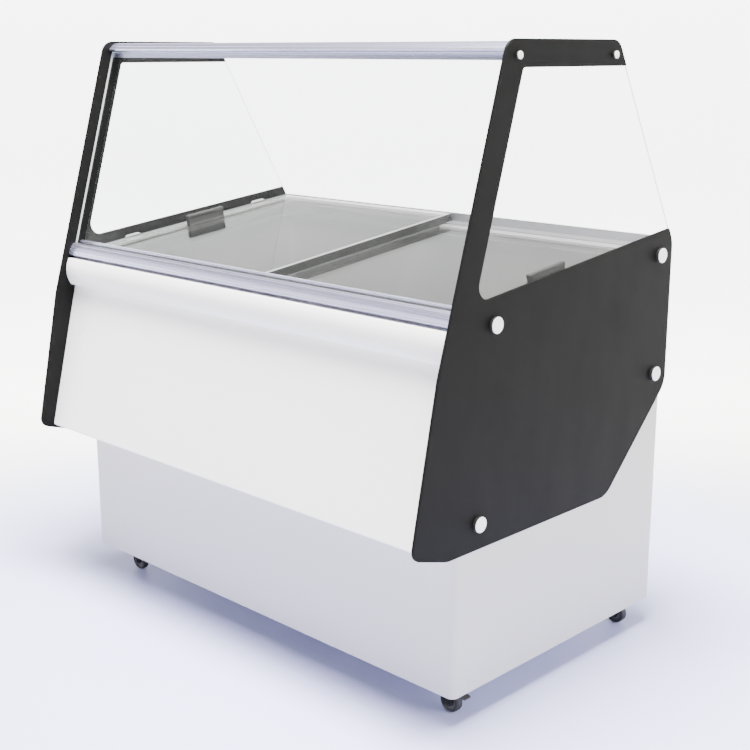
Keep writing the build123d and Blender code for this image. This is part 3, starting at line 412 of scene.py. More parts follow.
def plain_metal(name, light, tint, rough, spot=9.0):
    """Crystals of the given size, each a little lighter or darker and duller or brighter."""
    metal = Finish(name, Metallic=1.0)
    mottled = metal.node("SeparateColor", {}, {0: metal.cells(spot, "Color")})
    shade = mottled * 0.6 + metal.grain(3) * 0.4
    colour = metal.blend(shade, tone(light * 0.82, tint), tone(light, tint))
    return metal.feed(
        Base_Color=colour, Roughness=mottled * 0.12 + rough,
        Normal=metal.bump(metal.grain(0.8), 0.01))


zinc = plain_metal("zinc_plate", 0.62, PLAIN, 0.34)
copper = plain_metal("drawn_copper", 0.8, (1.0, 0.56, 0.38), 0.26, spot=20)
print("extrusions and metals on", len(bpy.data.materials), "materials")

# %% Stucco sheet of the tub
STUCCO, COOL = 1 / 0.22, (1, 1, 1.03)
# The tub's grey, 0.32 to 0.36, is darker than the sheet's own whitish grey: painted shade,
# standing in for the shade inside the tub.
tub_sheet_painted_shade = Finish("tub_sheet_painted_shade", Metallic=0.15, Coat_Weight=0.2)
dents = tub_sheet_painted_shade.cells(STUCCO, "Distance")
tub_sheet_painted_shade.feed(
    Base_Color=tub_sheet_painted_shade.blend(tub_sheet_painted_shade.grain(260), tone(0.32, COOL), tone(0.36, COOL)),
    Roughness=tub_sheet_painted_shade.grain(30) * 0.1 + 0.3,
    Normal=tub_sheet_painted_shade.bump(dents, 0.08, 0.5),
)
print("stucco dents are", round(STUCCO, 1), "mm apart")

# %% [markdown]
# ## Plastics, rubber and foam
#
# Moulded plastic has a fine leathery grain that hides sink marks. Rubber is the same idea with
# less gloss and a grey bloom on the high spots. Foam shows its cells.

# %% Moulded and cast finishes
def moulding(name, light, tint=PLAIN, rough=0.45, cell=0.5, rise=0.02, drift=0.12, shine=0.5):
    """A colour that drifts both ways, patchy gloss, and a leathery grain of small cells."""
    resin = Finish(name, Specular_IOR_Level=shine)
    low, high = tone(light * (1 - drift), tint), tone(light * (1 + drift), tint)
    colour = resin.blend(resin.grain(25, detail=4), low, high)
    gloss = resin.grain(12, detail=3, seed=4.0)
    return resin.feed(
        Base_Color=colour, Roughness=gloss * 0.12 + rough,
        Normal=resin.bump(resin.cells(cell, "Distance"), rise))


COOL_GREY = (1.0, 1.0, 1.02)
handle_grey = moulding("grey_handle_plastic", 0.022, rough=0.36, shine=0.25)
black_plastic = moulding("black_plastic", 0.014, rough=0.42, drift=0.3)
lug_grey = moulding("grey_lug_plastic", 0.22, COOL_GREY, rough=0.4)
hub_grey = moulding("grey_hub_plastic", 0.06, COOL_GREY, rough=0.4)
rubber = moulding("black_rubber", 0.012, rough=0.62, cell=0.3, rise=0.015, drift=0.35)
tread = moulding("wheel_tread", 0.016, rough=0.55, cell=0.9, rise=0.03, drift=0.4)
foam = moulding("insulation_foam", 0.66, (1.0, 0.92, 0.7), rough=0.8, cell=1.4, rise=0.3)
pipe_white = moulding("white_pipe", 0.72, rough=0.35)
print("plastics, rubber and foam make", len(bpy.data.materials), "materials")

# %% [markdown]
# ## Glass
#
# A pane lets light through and mirrors a little of it, more at a grazing angle. A fully
# refracting shader would leave what is behind the pane dark, so a clear shader is mixed with a
# mirror instead. The mirror's share follows Schlick's rule, which is the same from both sides:
# 0.04 plus 0.96 times the fifth power of how far the face turns away. A last factor tones the
# mirror down, because a real pane's two faces are never perfectly clean. A pane's cut rim
# is ground: it scatters light and looks pale green-grey.

# %% Panes and ground rims
HEAD_ON = 0.04


def pane_finish(name, tint, shine):
    """Clear and mirror shaders mixed by Schlick's rule, with the mirror smeared and scaled."""
    glass = Finish(name)
    smear = glass.grain(180, detail=3)
    through = glass.node("BsdfTransparent", {}, {"Color": tone(1.0, tint)})
    mirror = glass.node("BsdfGlossy", {}, {"Color": (1, 1, 1, 1), "Roughness": 0.0})
    away = glass.node("LayerWeight", {}, {"Blend": 0.5}, output="Facing")
    amount = (away ** 5.0 * (1 - HEAD_ON) + HEAD_ON) * (smear * 0.1 + 0.92) * shine
    both = glass.node("MixShader", {}, {0: amount, 1: through, 2: mirror})
    glass.join(both, glass.tree.nodes["Material Output"].inputs["Surface"])
    glass.tree.nodes.remove(glass.shader)
    return glass


clear_glass = pane_finish("clear_glass", (0.965, 0.975, 0.975), 0.3)
# The lid panes pass 0.72 of the light at each face, about half in all: a grey tint that is painted
# shade for the shade inside the tub.
lid_glass = pane_finish("lid_glass", (0.72, 0.72, 0.71), 0.7)
clear_sheet = pane_finish("clear_sheet", (0.985, 0.99, 0.99), 0.4)
ground_rim = Finish("ground_glass_rim", Roughness=0.3, Alpha=0.75)
ground_rim.feed(Base_Color=ground_rim.blend(
    ground_rim.grain(8), tone(0.5, (0.94, 1.0, 0.99)), tone(0.62, (0.95, 1, 1))))
print("glass makes", len(bpy.data.materials), "materials")

# %% [markdown]
# ## The cabinet and the tub
#
# The outer sheet is one long strip bent round four corners, cut along the sloping top and open
# at the back where the grille goes. On a grid this is a plan outline lifted through a few
# levels, with the squares of the opening left out. Solidify then gives it its thickness. The
# tub is a deep cup: its rings go up outside, over the rim and down inside, and a small cove
# joins the walls to the floor. Its rear wall comes up just under the rear ledge.

# %% Sizes shared by many pieces
SIDE, DEPTH = 631.0, 728.0
PANEL_IN, PANEL_OUT = 644.0, 650.0
RIM, SLOPE = 795.0, math.radians(7.1)
FRAME_DEPTH = 70.0


def top_of_cabinet(y):
    """Height of the sloping cabinet top: rim + y tan(slope) - depth / cos(slope)."""
    return RIM + y * math.tan(SLOPE) - FRAME_DEPTH / math.cos(SLOPE)


def deck(points):
    """From (x, along the slope, off the slope) to the cabinet.

    It is a turn about X by the slope, then a lift to the rim.
    """
    x, t, n = points.T
    return np.column_stack([
        x, t * math.cos(SLOPE) - n * math.sin(SLOPE),
        RIM + t * math.sin(SLOPE) + n * math.cos(SLOPE)])


print("cabinet top runs from", round(top_of_cabinet(0), 1), "to", round(top_of_cabinet(DEPTH), 1))


# %% Cabinet sheet
GRILLE_HOLE = (-456.0, 316.0, 50.0, 248.0)


def cabinet_sheet():
    """The plan outline raised to each level; the last level follows the sloping top."""
    left, right, low, high = GRILLE_HOLE
    bend = 16
    plan = outline(
        (-SIDE, 0, bend), (SIDE, 0, bend), (SIDE, DEPTH, bend), (right, DEPTH), (left, DEPTH),
        (-SIDE, DEPTH, bend), step=5)
    heights = [0.0, low, high, 420.0, 620.0]
    rings = [np.column_stack([plan, np.full(len(plan), z)]) for z in heights]
    rings.append(np.column_stack([plan, top_of_cabinet(plan[:, 1])]))
    points = np.stack(rings)
    levels, count = points.shape[:2]
    index = np.arange(levels * count).reshape(levels, count)
    under, over = index[:-1], index[1:]
    quads = np.stack([under, np.roll(under, -1, 1), np.roll(over, -1, 1), over], -1)
    keep = np.ones(quads.shape[:2], bool)
    hole_start = np.flatnonzero(np.all(np.isclose(plan, (right, DEPTH)), axis=1))[0]
    keep[1, hole_start] = False
    faces = quads[keep].tolist()
    return points.reshape(-1, 3), faces, [0] * len(faces)


SHEET = 1.5
shell_piece = piece(
    "cabinet_sheet", [cabinet_sheet()], [cabinet_coat_painted_shade], stands_for=["cabinet_shell"])
wall = shell_piece.modifiers.new("sheet thickness", "SOLIDIFY")
wall.thickness, wall.offset = SHEET * MM, -1.0
shell_piece.modifiers.move(1, 0)


# %% Tub
def tub():
    """A cup: ring k is the plan set in by d(k) at height z(k), out, over and down the inside.

    At angle a of the cove, d grows by cove * (1 - cos a) and z falls to the floor as sin a.
    """
    half, front, rear, bottom, corner, cove = 571, 70, 659, 345.0, 20, 14
    plan = outline(
        (-half, front, corner), (half, front, corner), (half, rear, corner),
        (-half, rear, corner))
    stations = [(0.0, bottom), (0.0, None), (SHEET, None)]
    stations += [
        (SHEET + cove * (1 - math.cos(a)), bottom + SHEET + cove * (1 - math.sin(a)))
        for a in np.linspace(0, math.pi / 2, 6)]
    rings = []
    for depth, height in stations:
        ring = inset(plan, depth) if depth else plan
        level = top_of_cabinet(ring[:, 1]) if height is None else np.full(len(ring), height)
        rings.append(np.column_stack([ring, level]))
    return loft(np.stack(rings))


piece("tub", [tub()], [tub_sheet_painted_shade], stands_for=["inner_liner"], sharp=50)

# %% [markdown]
# ## The lid frame
#
# Two stepped tracks run across, front and rear, with an upper step for the left lid and a
# lower one for the right. Each is an extrusion, so its cross-section is drawn once and
# carried across. The two end rails stand beside the lids, with low grey lugs on top.

# %% Tracks, end rails and lugs
FLOOR, LOW_STEP, HIGH_STEP = -FRAME_DEPTH, -43.8, -21.3
FRONT_TRACK = outline(
    (13.5, FLOOR), (66, FLOOR), (66, LOW_STEP, 1), (42.5, LOW_STEP), (42.5, HIGH_STEP, 1),
    (17.5, HIGH_STEP), (17.5, -1, 0.8), (13.5, -1, 1.2), step=30)
REAR_TRACK = outline(
    (651, FLOOR), (723.5, FLOOR), (723.5, -62, 3), (706.5, -50, 6), (703.5, -16, 20),
    (703.5, 0, 1.4), (699.5, 0, 1.2), (699.5, HIGH_STEP), (674.5, HIGH_STEP, 1),
    (674.5, LOW_STEP), (651, LOW_STEP, 1), step=15)
RAIL_IN, RAIL_OUT = SIDE - 14, SIDE
for name, section in (("front_track", FRONT_TRACK), ("rear_track", REAR_TRACK)):
    track = moved(plate(section, -RAIL_IN, RAIL_IN, 0.3), deck)
    piece(name + "_extrusion", [track], [track_grey], stands_for=[name])


def end_rail():
    """The right-hand upstand and its ledge, as two sections carried up the slope."""
    upstand = outline(
        (RAIL_IN, FLOOR), (RAIL_OUT, FLOOR), (RAIL_OUT, -0.5, 2.2), (RAIL_IN, -0.5, 2.2), step=18)
    ledge_in, ledge_top, lap = 566.8, LOW_STEP - 2, 0.5
    ledge = outline(
        (ledge_in, FLOOR), (RAIL_IN + lap, FLOOR), (RAIL_IN + lap, ledge_top),
        (ledge_in, ledge_top, 1.2), step=18)
    return [
        moved(plate(upstand, 13.5, 703.5, 0.6, axis="y"), deck),
        moved(plate(ledge, 66, 651, 0.4, axis="y"), deck),
    ]


for side, turn in (("right", as_drawn), ("left", mirrored)):
    piece(side + "_end_upstand", [turn(s) for s in end_rail()], [track_grey],
          stands_for=[side + "_end_rail"])


def lug(middle):
    """A low loaf: a domed section carried across the rail, with rounded ends."""
    section = outline(
        (middle - 23, -0.5, 1), (middle + 23, -0.5, 1), (middle + 20, 6.2, 5.5),
        (middle - 20, 6.2, 5.5), step=12)
    inset_from_rail = 1.6
    return moved(
        plate(section, RAIL_IN + inset_from_rail, RAIL_OUT - inset_from_rail, 2.4, steps=4), deck)


lugs = [lug(150), lug(585)]
piece("lid_lugs", lugs + [mirrored(s) for s in lugs], [lug_grey], stands_for=["lid_buffers"])

# %% [markdown]
# ## The lids
#
# Each lid is a ring of four bars round a pane. The bars differ in width, so the section is
# drawn with places counted from the outer or the inner edge of the bar, and carried round
# the four corners. That gives true mitres. The pane drops into a rebate in the bars, an
# upright grip stands near the outer end, and the upper lid's inner bar carries a thin
# rubber wiper that closes the gap over the lower lid.

# %% Lid bars
# Each point is (share of the bar's width, offset, height): share 0 is counted from the outer
# edge of the bar and share 1 from the inner one.
LID_SECTION = [
    (0, 0.9, -20), (0, 0.25, -19.75), (0, 0, -19.1), (0, 0, -1.6), (0, 0.45, -0.5), (0, 1.6, 0),
    (0, 4.2, 0), (0, 4.5, -0.5), (0, 5.1, -0.5), (0, 5.4, 0), (1, -7.4, 0), (1, -6.5, -0.25),
    (1, -6.0, -1.0), (1, -6.0, -5.0), (1, -0.8, -5.0), (1, 0, -5.8), (1, 0, -19.2),
    (1, -0.8, -20),
]
OUTER_BAR, INNER_BAR, FRONT_BAR, REAR_BAR = 27.0, 13.0, 20.0, 28.0
# A lid is (outer edge, inner edge, front, rear, height of its top), on the slope.
UPPER = (-615.0, 6.5, 20.0, 697.0, -1.0)
LOWER = (-615.0, 6.5, 44.5, 672.5, -23.5)


def lid_ring(x0, x1, t0, t1, top):
    """The section at four corners: a place is share * bar width + offset from the lid's edge."""
    share, offset, rise = np.array(LID_SECTION, float).T
    outer, inner, front, rear = (
        share * width + offset for width in (OUTER_BAR, INNER_BAR, FRONT_BAR, REAR_BAR))
    corners = [
        (x0 + outer, t0 + front), (x1 - inner, t0 + front), (x1 - inner, t1 - rear),
        (x0 + outer, t1 - rear)]
    rings = [np.column_stack([x, t, top + rise]) for x, t in corners]
    return moved(loft(np.stack(rings), closed=True), deck)


def lid_pane(x0, x1, t0, t1, top):
    """The pane, lapping 5.7 mm into the bars and lying 1 mm below their tops."""
    lap, corner, sink, glass = 5.7, 3, 1, 4
    left, right = x0 + OUTER_BAR - lap, x1 - INNER_BAR + lap
    front, rear = t0 + FRONT_BAR - lap, t1 - REAR_BAR + lap
    shape = outline(
        (left, front, corner), (right, front, corner), (right, rear, corner),
        (left, rear, corner))
    return moved(plate(shape, top - sink - glass, top - sink, 0.5, axis="z"), deck)


# %% Grips and wiper
GRIP_X, GRIP_MIDDLE, GRIP_HALF = -570, 352, 61


def lid_grip(top):
    """An upright grip: a waisted section with a rounded head, carried along the slope."""
    half = [(7.5, 0, 0.6), (7.5, 3, 1.5), (6.0, 8, 8), (6.0, 21, 8), (7.5, 26, 3), (7.5, 31, 4.5)]
    section = outline(
        (GRIP_X - 7.5, 0, 0.6), *[(GRIP_X + u, v, r) for u, v, r in half],
        *[(GRIP_X - u, v, r) for u, v, r in half[:0:-1]], step=15)
    section = section + np.array([0, top - 1])
    return moved(
        plate(section, GRIP_MIDDLE - GRIP_HALF, GRIP_MIDDLE + GRIP_HALF, 4.0, axis="y", steps=5),
        deck)


def lid_seal(x0, x1, t0, t1, top):
    """A thin wiper on the inner end of the bar: a lip section carried along the slope."""
    section = outline(
        (x1, top - 1.6), (x1 + 1.4, top - 2.2, 0.5), (x1 + 1.4, top - 19, 0.5),
        (x1 + 0.6, top - 21.4), (x1, top - 21.4), step=30)
    return moved(plate(section, t0 + 1, t1 - 1, 0.3, axis="y"), deck)


# %% Lids in place
for side, lid, turn in (("left", UPPER, as_drawn), ("right", LOWER, mirrored)):
    body = side + "_lid"
    piece(body + "_bars", [turn(lid_ring(*lid))], [bright_metal], body, [body + "_frame"])
    piece(body + "_pane", [turn(lid_pane(*lid))], [ground_rim, lid_glass], body,
          [body + "_glass"])
    piece(body + "_grip", [turn(lid_grip(lid[-1]))], [handle_grey], body, [body + "_handle"])
piece("left_lid_seal", [lid_seal(*UPPER)], [rubber], "left_lid")

# %% [markdown]
# ## The side panels
#
# A panel is a black C: the outline goes round the outside, comes in along the window sill, up
# its front, back under the top band and out again. A clear sheet sits behind the window,
# and its rear edge is free. White caps on black collars cover the bolts.

# %% Panel and window outlines
TOP, BEND, CHIN, FOOT, SHOULDER = 1308.0, 690.0, 352, 321.5, 873.0
TOP_FRONT, TOP_REAR, PANEL_REAR = 104.5, 466.0, 711.0
LEAN, BELT_LEAN = 0.2953, 0.205
HEAD = TOP - 52.5
POST = 63.5


def front_line(z):
    """Front edge of the panel's upper part at height z."""
    return TOP_FRONT - LEAN * (TOP - z)


def belt_line(z):
    """Front edge below the bend."""
    return front_line(BEND) - BELT_LEAN * (BEND - z)


REAR_RUN = (PANEL_REAR - TOP_REAR) / (TOP - SHOULDER)
SILL_AT_ZERO, SILL_RISE = 818.5, 0.119


def window_corners(out):
    """Corners of the window with its front, sill and head lines moved out by a distance.

    Two lines y = a + b z and z = c + d y meet at y = (a + b c) / (1 - b d).
    """
    head = HEAD + out
    sill = SILL_AT_ZERO - out * math.hypot(1, SILL_RISE)
    front = front_line(0) + POST - out * math.hypot(1, LEAN)
    low_y = (front + LEAN * sill) / (1 - LEAN * SILL_RISE)
    back_z = (sill + SILL_RISE * (TOP_REAR + REAR_RUN * TOP)) / (1 + SILL_RISE * REAR_RUN)
    return [
        (front + LEAN * head, head), (low_y, sill + SILL_RISE * low_y),
        (TOP_REAR + REAR_RUN * (TOP - back_z), back_z),
        (TOP_REAR + REAR_RUN * (TOP - head), head)]


SEAT = 7.7
hole = window_corners(0)
seat = window_corners(SEAT)
PANEL = outline(
    (TOP_FRONT, TOP, 34), (front_line(BEND), BEND, 60), (belt_line(CHIN), CHIN, 24),
    (-45, FOOT, 60), (491, FOOT, 58), (PANEL_REAR, 542, 58), (PANEL_REAR, SHOULDER, 60),
    (*hole[2], 2.5), (*hole[1], 28), (*hole[0], 8), (*hole[3], 2.5), (TOP_REAR, TOP, 34), step=4)
PANE = outline(
    (*seat[0], 8 + SEAT), (*seat[1], 28 + SEAT), (*seat[2], 1.5), (*seat[3], 1.5), step=6)
print("window corners:", np.round(hole, 1).tolist())

# %% Panels and panes
panel = plate(PANEL, PANEL_IN, PANEL_OUT, 0.9, steps=4)
window = plate(PANE, PANEL_IN + 0.4, PANEL_IN + 3, 0.4)
for side, turn in (("right", as_drawn), ("left", mirrored)):
    piece(side + "_panel", [turn(panel)], [panel_black], "cabinet", [side + "_side_panel"])
    piece(side + "_pane", [turn(window)], [ground_rim, clear_sheet], "cabinet",
          [side + "_side_window"])


# %% Caps and collars
def cap_and_collar(y, z, radius, collar):
    """A drum with eased rims, and on it a disc whose face swells by 0.5 mm at the middle.

    At share s of the radius the face stands 2.4 - 0.5 s * s above the drum.
    """
    centre = (PANEL_OUT, y, z)
    drum = turned(
        [(radius - 0.6, 0), (radius, 0.5), (radius, collar - 0.9), (radius - 0.9, collar)],
        centre)
    face = [(radius * s, collar + 2.4 - 0.5 * s * s) for s in np.linspace(0.03, 0.86, 8)]
    rim = [
        (radius * 0.95, collar + 1.75), (radius * 0.99, collar + 1.2), (radius, collar + 0.6),
        (radius - 0.3, collar - 0.1)]
    return drum, turned(face + rim, centre)


PANEL_BOLTS = ((84, 774), (661, 844.5), (660.5, 574), (46, 376.5))
RAIL_BOLTS = ((134, 1278), (449, 1278))
KINDS = (("collars", black_plastic, "black_plastic"), ("caps", cap_white, "white_plastic"))
for size, spots, radius, collar in (
        ("panel", PANEL_BOLTS, 16.5, 7.0), ("rail", RAIL_BOLTS, 7.6, 5.0)):
    pairs = [cap_and_collar(y, z, radius, collar) for y, z in spots]
    for (kind, finish, slot), shells in zip(KINDS, zip(*pairs)):
        piece(f"{size}_{kind}", [*shells, *(mirrored(s) for s in shells)], [finish], "cabinet",
              [f"{size}_bolt_{kind}"])

# %% [markdown]
# ## Front glass and top rails
#
# The front glass leans back with the panels. It is drawn flat in its own plane, so its cut
# rims can have the ground finish, and then leaned into place. The rails above are extrusions
# with die grooves, which are small notches in the drawn section.

# %% Leaning glass
TILT = math.atan(LEAN)
GLASS_LOW, GLASS_HIGH, GLASS_BACK = 806.5, 1283.0, 27.6


def leaning(points):
    """From (x, up the glass, out of the glass) to the cabinet, starting at the glass foot."""
    x, up, out = points.T
    foot = front_line(GLASS_LOW) + GLASS_BACK
    return np.column_stack([
        x, foot + up * math.sin(TILT) - out * math.cos(TILT),
        GLASS_LOW + up * math.cos(TILT) + out * math.sin(TILT)])


glass_half, glass_thick = PANEL_IN - 1, 5
glass_height = (GLASS_HIGH - GLASS_LOW) / math.cos(TILT)
sheet = outline(
    (-glass_half, 0, 1.5), (glass_half, 0, 1.5), (glass_half, glass_height, 1.5),
    (-glass_half, glass_height, 1.5))
piece("leaning_glass", [moved(plate(sheet, -glass_thick, 0, 0.6, axis="z"), leaning)],
      [ground_rim, clear_glass], "cabinet", ["front_glass"])


# %% Extrusions with die grooves
def notched(start, end, places, width=1.2, depth=0.6):
    """Points from start to end with a V notch at each place, measured along the line."""
    start, end = np.array(start, float), np.array(end, float)
    way = (end - start) / np.linalg.norm(end - start)
    inward = np.array([-way[1], way[0]])
    notch = [
        start + way * (p + s) + inward * d
        for p in places for s, d in ((-width / 2, 0), (0, depth), (width / 2, 0))]
    return np.array([start, *notch, end])


def across(section, half=PANEL_IN, edge=0.2, steps=1):
    """A section carried across the cabinet, from one side panel to the other."""
    return plate(section, -half, half, edge, steps=steps)


RAIL_FLOOR, RAIL_TOP = 1268.5, 1303.5
FRONT_RAIL = np.concatenate([
    [(125.6, RAIL_FLOOR), (165.5, RAIL_FLOOR), (167.8, 1270.5), (167.8, 1301.8)],
    notched((167.5, RAIL_TOP), (141.5, RAIL_TOP), (4, 8, 12, 20)),
    [(137.5, 1303.3), (133.6, 1302.4), (129.6, 1300.2), (124.0, 1295.6), (122.9, 1295.5),
     (122.8, 1294.4), (117.9, 1290.1), (117.5, 1289.0), (117.5, 1286.0), (118.0, 1285.5),
     (130.7, 1285.5)]])
REAR_RAIL = np.concatenate([
    [(434.5, RAIL_FLOOR), (463.5, RAIL_FLOOR), (465, 1270), (465, 1294), (463.5, 1299),
     (460, 1302.2), (455, RAIL_TOP)],
    notched((455, RAIL_TOP), (436, RAIL_TOP), (4, 8, 12))[1:-1],
    [(435, RAIL_TOP), (433, 1301.5), (433, 1270)]])
for end, section in (("front", FRONT_RAIL), ("rear", REAR_RAIL)):
    piece(end + "_rail_extrusion", [across(section)], [lavender_metal], "cabinet",
          [end + "_top_rail"])

# %% [markdown]
# ## Sill, bumper and cladding
#
# The sill is the bright band that meets the eye first. Its nose is an arc with a few die
# grooves. Behind the nose a channel holds the foot of the glass, and a lip rises behind it.
# Under a dark gap comes a white bullnose bumper, and under that a sheet that slopes out and
# returns to the cabinet.

# %% Sill
def arc_through(a, b, c, count, groove_places=(), groove=0.5, width=0.02):
    """Points on the circle through a, b and c.

    Its centre is where the middle normals of the chords cross. At each groove place, from 0
    to 1 along the arc, the radius is less by the groove depth.
    """
    a, b, c = (np.array(p, float) for p in (a, b, c))
    rows = np.array([b - a, c - b])
    centre = np.linalg.solve(rows, [(b @ b - a @ a) / 2, (c @ c - b @ b) / 2])
    radius = np.linalg.norm(a - centre)
    first, last = (math.atan2(*(p - centre)[::-1]) for p in (a, c))
    if last > first:
        last -= 2 * math.pi
    notches = [g + np.array([-width, 0, width]) for g in groove_places]
    share = np.sort(np.concatenate([np.linspace(0, 1, count), *notches]))
    reach = np.full(len(share), radius)
    for middle in groove_places:
        reach[np.isclose(share, middle)] -= groove
    angle = first + (last - first) * share
    return centre + np.column_stack([np.cos(angle), np.sin(angle)]) * reach[:, None]


nose = arc_through(
    (-34.5, 784.5), (-29.2, 800.0), (-19.2, 811.0), 22, (0.12, 0.34, 0.56, 0.84))
channel = [(-17.2, 811.2), (-16.8, 810.6), (-19.1, 803), (-1.5, 803), (-1.0, 812.6)]
lip = [(-0.4, 814.2), (0.8, 815.1), (8, 816), (9.6, 815.8), (10.5, 814.6)]
web = [(y, top_of_cabinet(y)) for y in (10.5, 0.5)] + [(0.5, 779), (-27, 779), (-33.6, 783.2)]
piece("sill_extrusion", [across(np.concatenate([nose, channel, lip, web]))], [lavender_metal],
      "cabinet", ["sill_profile"], sharp=24)

# %% Bumper and cladding
bulge = arc_through((-37, 708.5), (-47.5, 744), (-39, 774.2), 26)
flat_back = [(-38, 775), (-1, 775), (0, 774), (0, 708.5), (-1, 707.5), (-36, 707.5)]
bumper = across(np.concatenate([bulge, flat_back]), PANEL_IN - 2, edge=2.0, steps=4)
piece("bumper_moulding", [bumper], [bumper_white], "cabinet", ["bumper_profile"],
      sharp=28)


def cladding_sheet():
    """The bent line and the same line 2 mm further in, joined into the section of a sheet."""
    bent = outline(
        (0, 706.5), (-22, 706.5, 3), (-110, 349, 5), (-53, 330.5, 30), (0, 328.5), step=8)
    inner = inset(bent, 2.0)
    inner[[0, -1], 0] = 0.0
    return across(np.concatenate([bent, inner[::-1]]), PANEL_IN - 1)


piece("cladding_sheet", [cladding_sheet()], [cladding_white], "cabinet", ["front_cladding"])

# %% [markdown]
# ## Casters
#
# A caster is a plate with a ball race under it, a fork that swivels on the race, and a wheel
# on an axle. Wheels and races are turned; fork legs are flat blanks. The front pair has a
# foot lever each. All are worked out once about the swivel axis and moved to their corners.

# %% Caster shapes
TRAIL, AXLE_Z = 25.0, -40.0
AXLE = (TRAIL, 0, AXLE_Z)
KINGPIN = (0, 0, 0)
BORE = 5.3


def caster_wheel():
    """Two rings on one axle: a crowned tread and a dished hub with a raised boss."""
    tyre = outline(
        (17.5, -9), (21.5, -9.6, 1), (25, -7.5, 3), (25, 7.5, 3), (21.5, 9.6, 1), (17.5, 9),
        step=12)
    hub = outline(
        (4.2, -9.8), (8, -9.8, 1), (9.5, -6.5, 1), (16, -6.0, 1.5), (17.6, -8.6), (17.6, 8.6),
        (16, 6.0, 1.5), (9.5, 6.5, 1), (8, 9.8, 1), (4.2, 9.8), step=20)
    return turned(tyre, AXLE, "y", 64, ring=True), turned(hub, AXLE, "y", 48, ring=True)


def caster_fork():
    """Swivel cup, bridge, two legs, and the axle's head and nut."""
    cup = turned(
        [(BORE, -9.6), (17.5, -9.6), (19, -10.4), (19, -11.6), (18, -12.3), (BORE, -12.3)],
        KINGPIN, "z", ring=True)
    span = outline((10, -13.4, 2), (29, -13.4, 4), (29, 13.4, 4), (10, 13.4, 2), step=20)
    bridge = plate(span, -12.2, -9.6, 0.5, "z")
    blank = outline(
        (-8, -9.8, 1), (TRAIL - 9, -48, 8), (TRAIL + 9, -48, 8), (TRAIL + 23, -18.5, 3),
        (TRAIL + 23, -9.8, 1), step=15)
    legs = [plate(blank, side * 12.3 - 1.3, side * 12.3 + 1.3, 0.5, "y") for side in (-1, 1)]
    head = np.array([(0.3, 16.1), (4.6, 16.1), (6.3, 15.2), (6.5, 13.6)])
    round_head = turned(head * (1, -1), AXLE, "y", 32)
    hex_nut = turned(head, AXLE, "y", 6)
    return [cup, bridge, *legs, round_head, hex_nut]


def caster_plate():
    """Top plate, ball race and four screw heads."""
    flat = plate(outline((-30, -30, 8), (30, -30, 8), (30, 30, 8), (-30, 30, 8)), -3, 0, 0.6, "z")
    race = turned(
        [(BORE, -9.4), (15.5, -9.4), (17, -8.4), (17, -4.6), (15, -3), (BORE, -3)],
        KINGPIN, "z", ring=True)
    rivet = turned([(0.3, -14.2), (4.5, -14.0), (6.4, -12.9), (6.4, -12.6)], KINGPIN, "z", 32)
    screws = [
        turned([(0.3, -5.2), (3, -5.0), (4.4, -3.9), (4.6, -2.9)], (x, y, 0), "z", 24)
        for x in (-22, 22) for y in (-22, 22)]
    return [flat, race, rivet, *screws]


def pedal():
    """A ribbed lever: its side outline carried across between the legs.

    The foot pad falls 0.27 mm per mm towards its tip and has a rib 0.7 mm high every 3 mm.
    """
    x, z = TRAIL + 17, -14.0
    rib = ((0.4, 0.0), (0.9, 0.7), (2.0, 0.7), (2.5, 0.0))
    ribs = [
        (x + 26 - 3 * k - d, z - 5 + (3 * k + d) * 0.27 + r) for k in range(4) for d, r in rib]
    under = [
        (x - 2, z - 2.6), (x, z - 3.3), (x + 12, z - 5), (x + 26.4, z - 9), (x + 27, z - 8.2),
        (x + 26.6, z - 5.4)]
    heel = [(x + 12, z - 1), (x + 2, z + 1.5), (x - 2, z + 1.8), (x - 3.2, z)]
    return plate(np.array(under + ribs + heel), -10.4, 10.4, 0.6, "y")


# %% Casters in place
CASTER_X, CASTER_Y = SIDE - 79, 59.0
CORNERS = {
    "front_left": (-CASTER_X, CASTER_Y), "front_right": (CASTER_X, CASTER_Y),
    "rear_left": (-CASTER_X, DEPTH - CASTER_Y), "rear_right": (CASTER_X, DEPTH - CASTER_Y),
}


def put(shells, corner):
    """The shells moved from the swivel axis to a corner of the cabinet."""
    spot = np.array([*CORNERS[corner], 0.0])
    return [moved(shell, lambda p: p + spot) for shell in shells]


plates = []
for corner in CORNERS:
    tyre, hub = put(caster_wheel(), corner)
    plates += put(caster_plate(), corner)
    piece("tyre_" + corner, [tyre], [tread], "wheel_" + corner, ["caster_wheel_" + corner])
    piece("hub_" + corner, [hub], [hub_grey], "wheel_" + corner)
    piece("fork_legs_" + corner, put(caster_fork(), corner), [steel_black], "fork_" + corner,
          ["caster_fork_" + corner])
    if corner.startswith("front"):
        piece("lever_" + corner, put([pedal()], corner), [black_plastic], "pedal_" + corner,
              ["brake_pedal_" + corner])
piece("caster_top_plates", plates, [zinc], "cabinet", ["caster_plates"])

# %% [markdown]
# ## The back
#
# Behind, a louvred cover lets the condenser breathe. Each slot has a pressed hood: a strip
# whose section is a quarter bulge that closes at both ends. The knob is a disc whose rim
# waves twelve times, with a raised pointer.


# %% Louvre hoods
GRILLE_FACE = DEPTH + 2.0


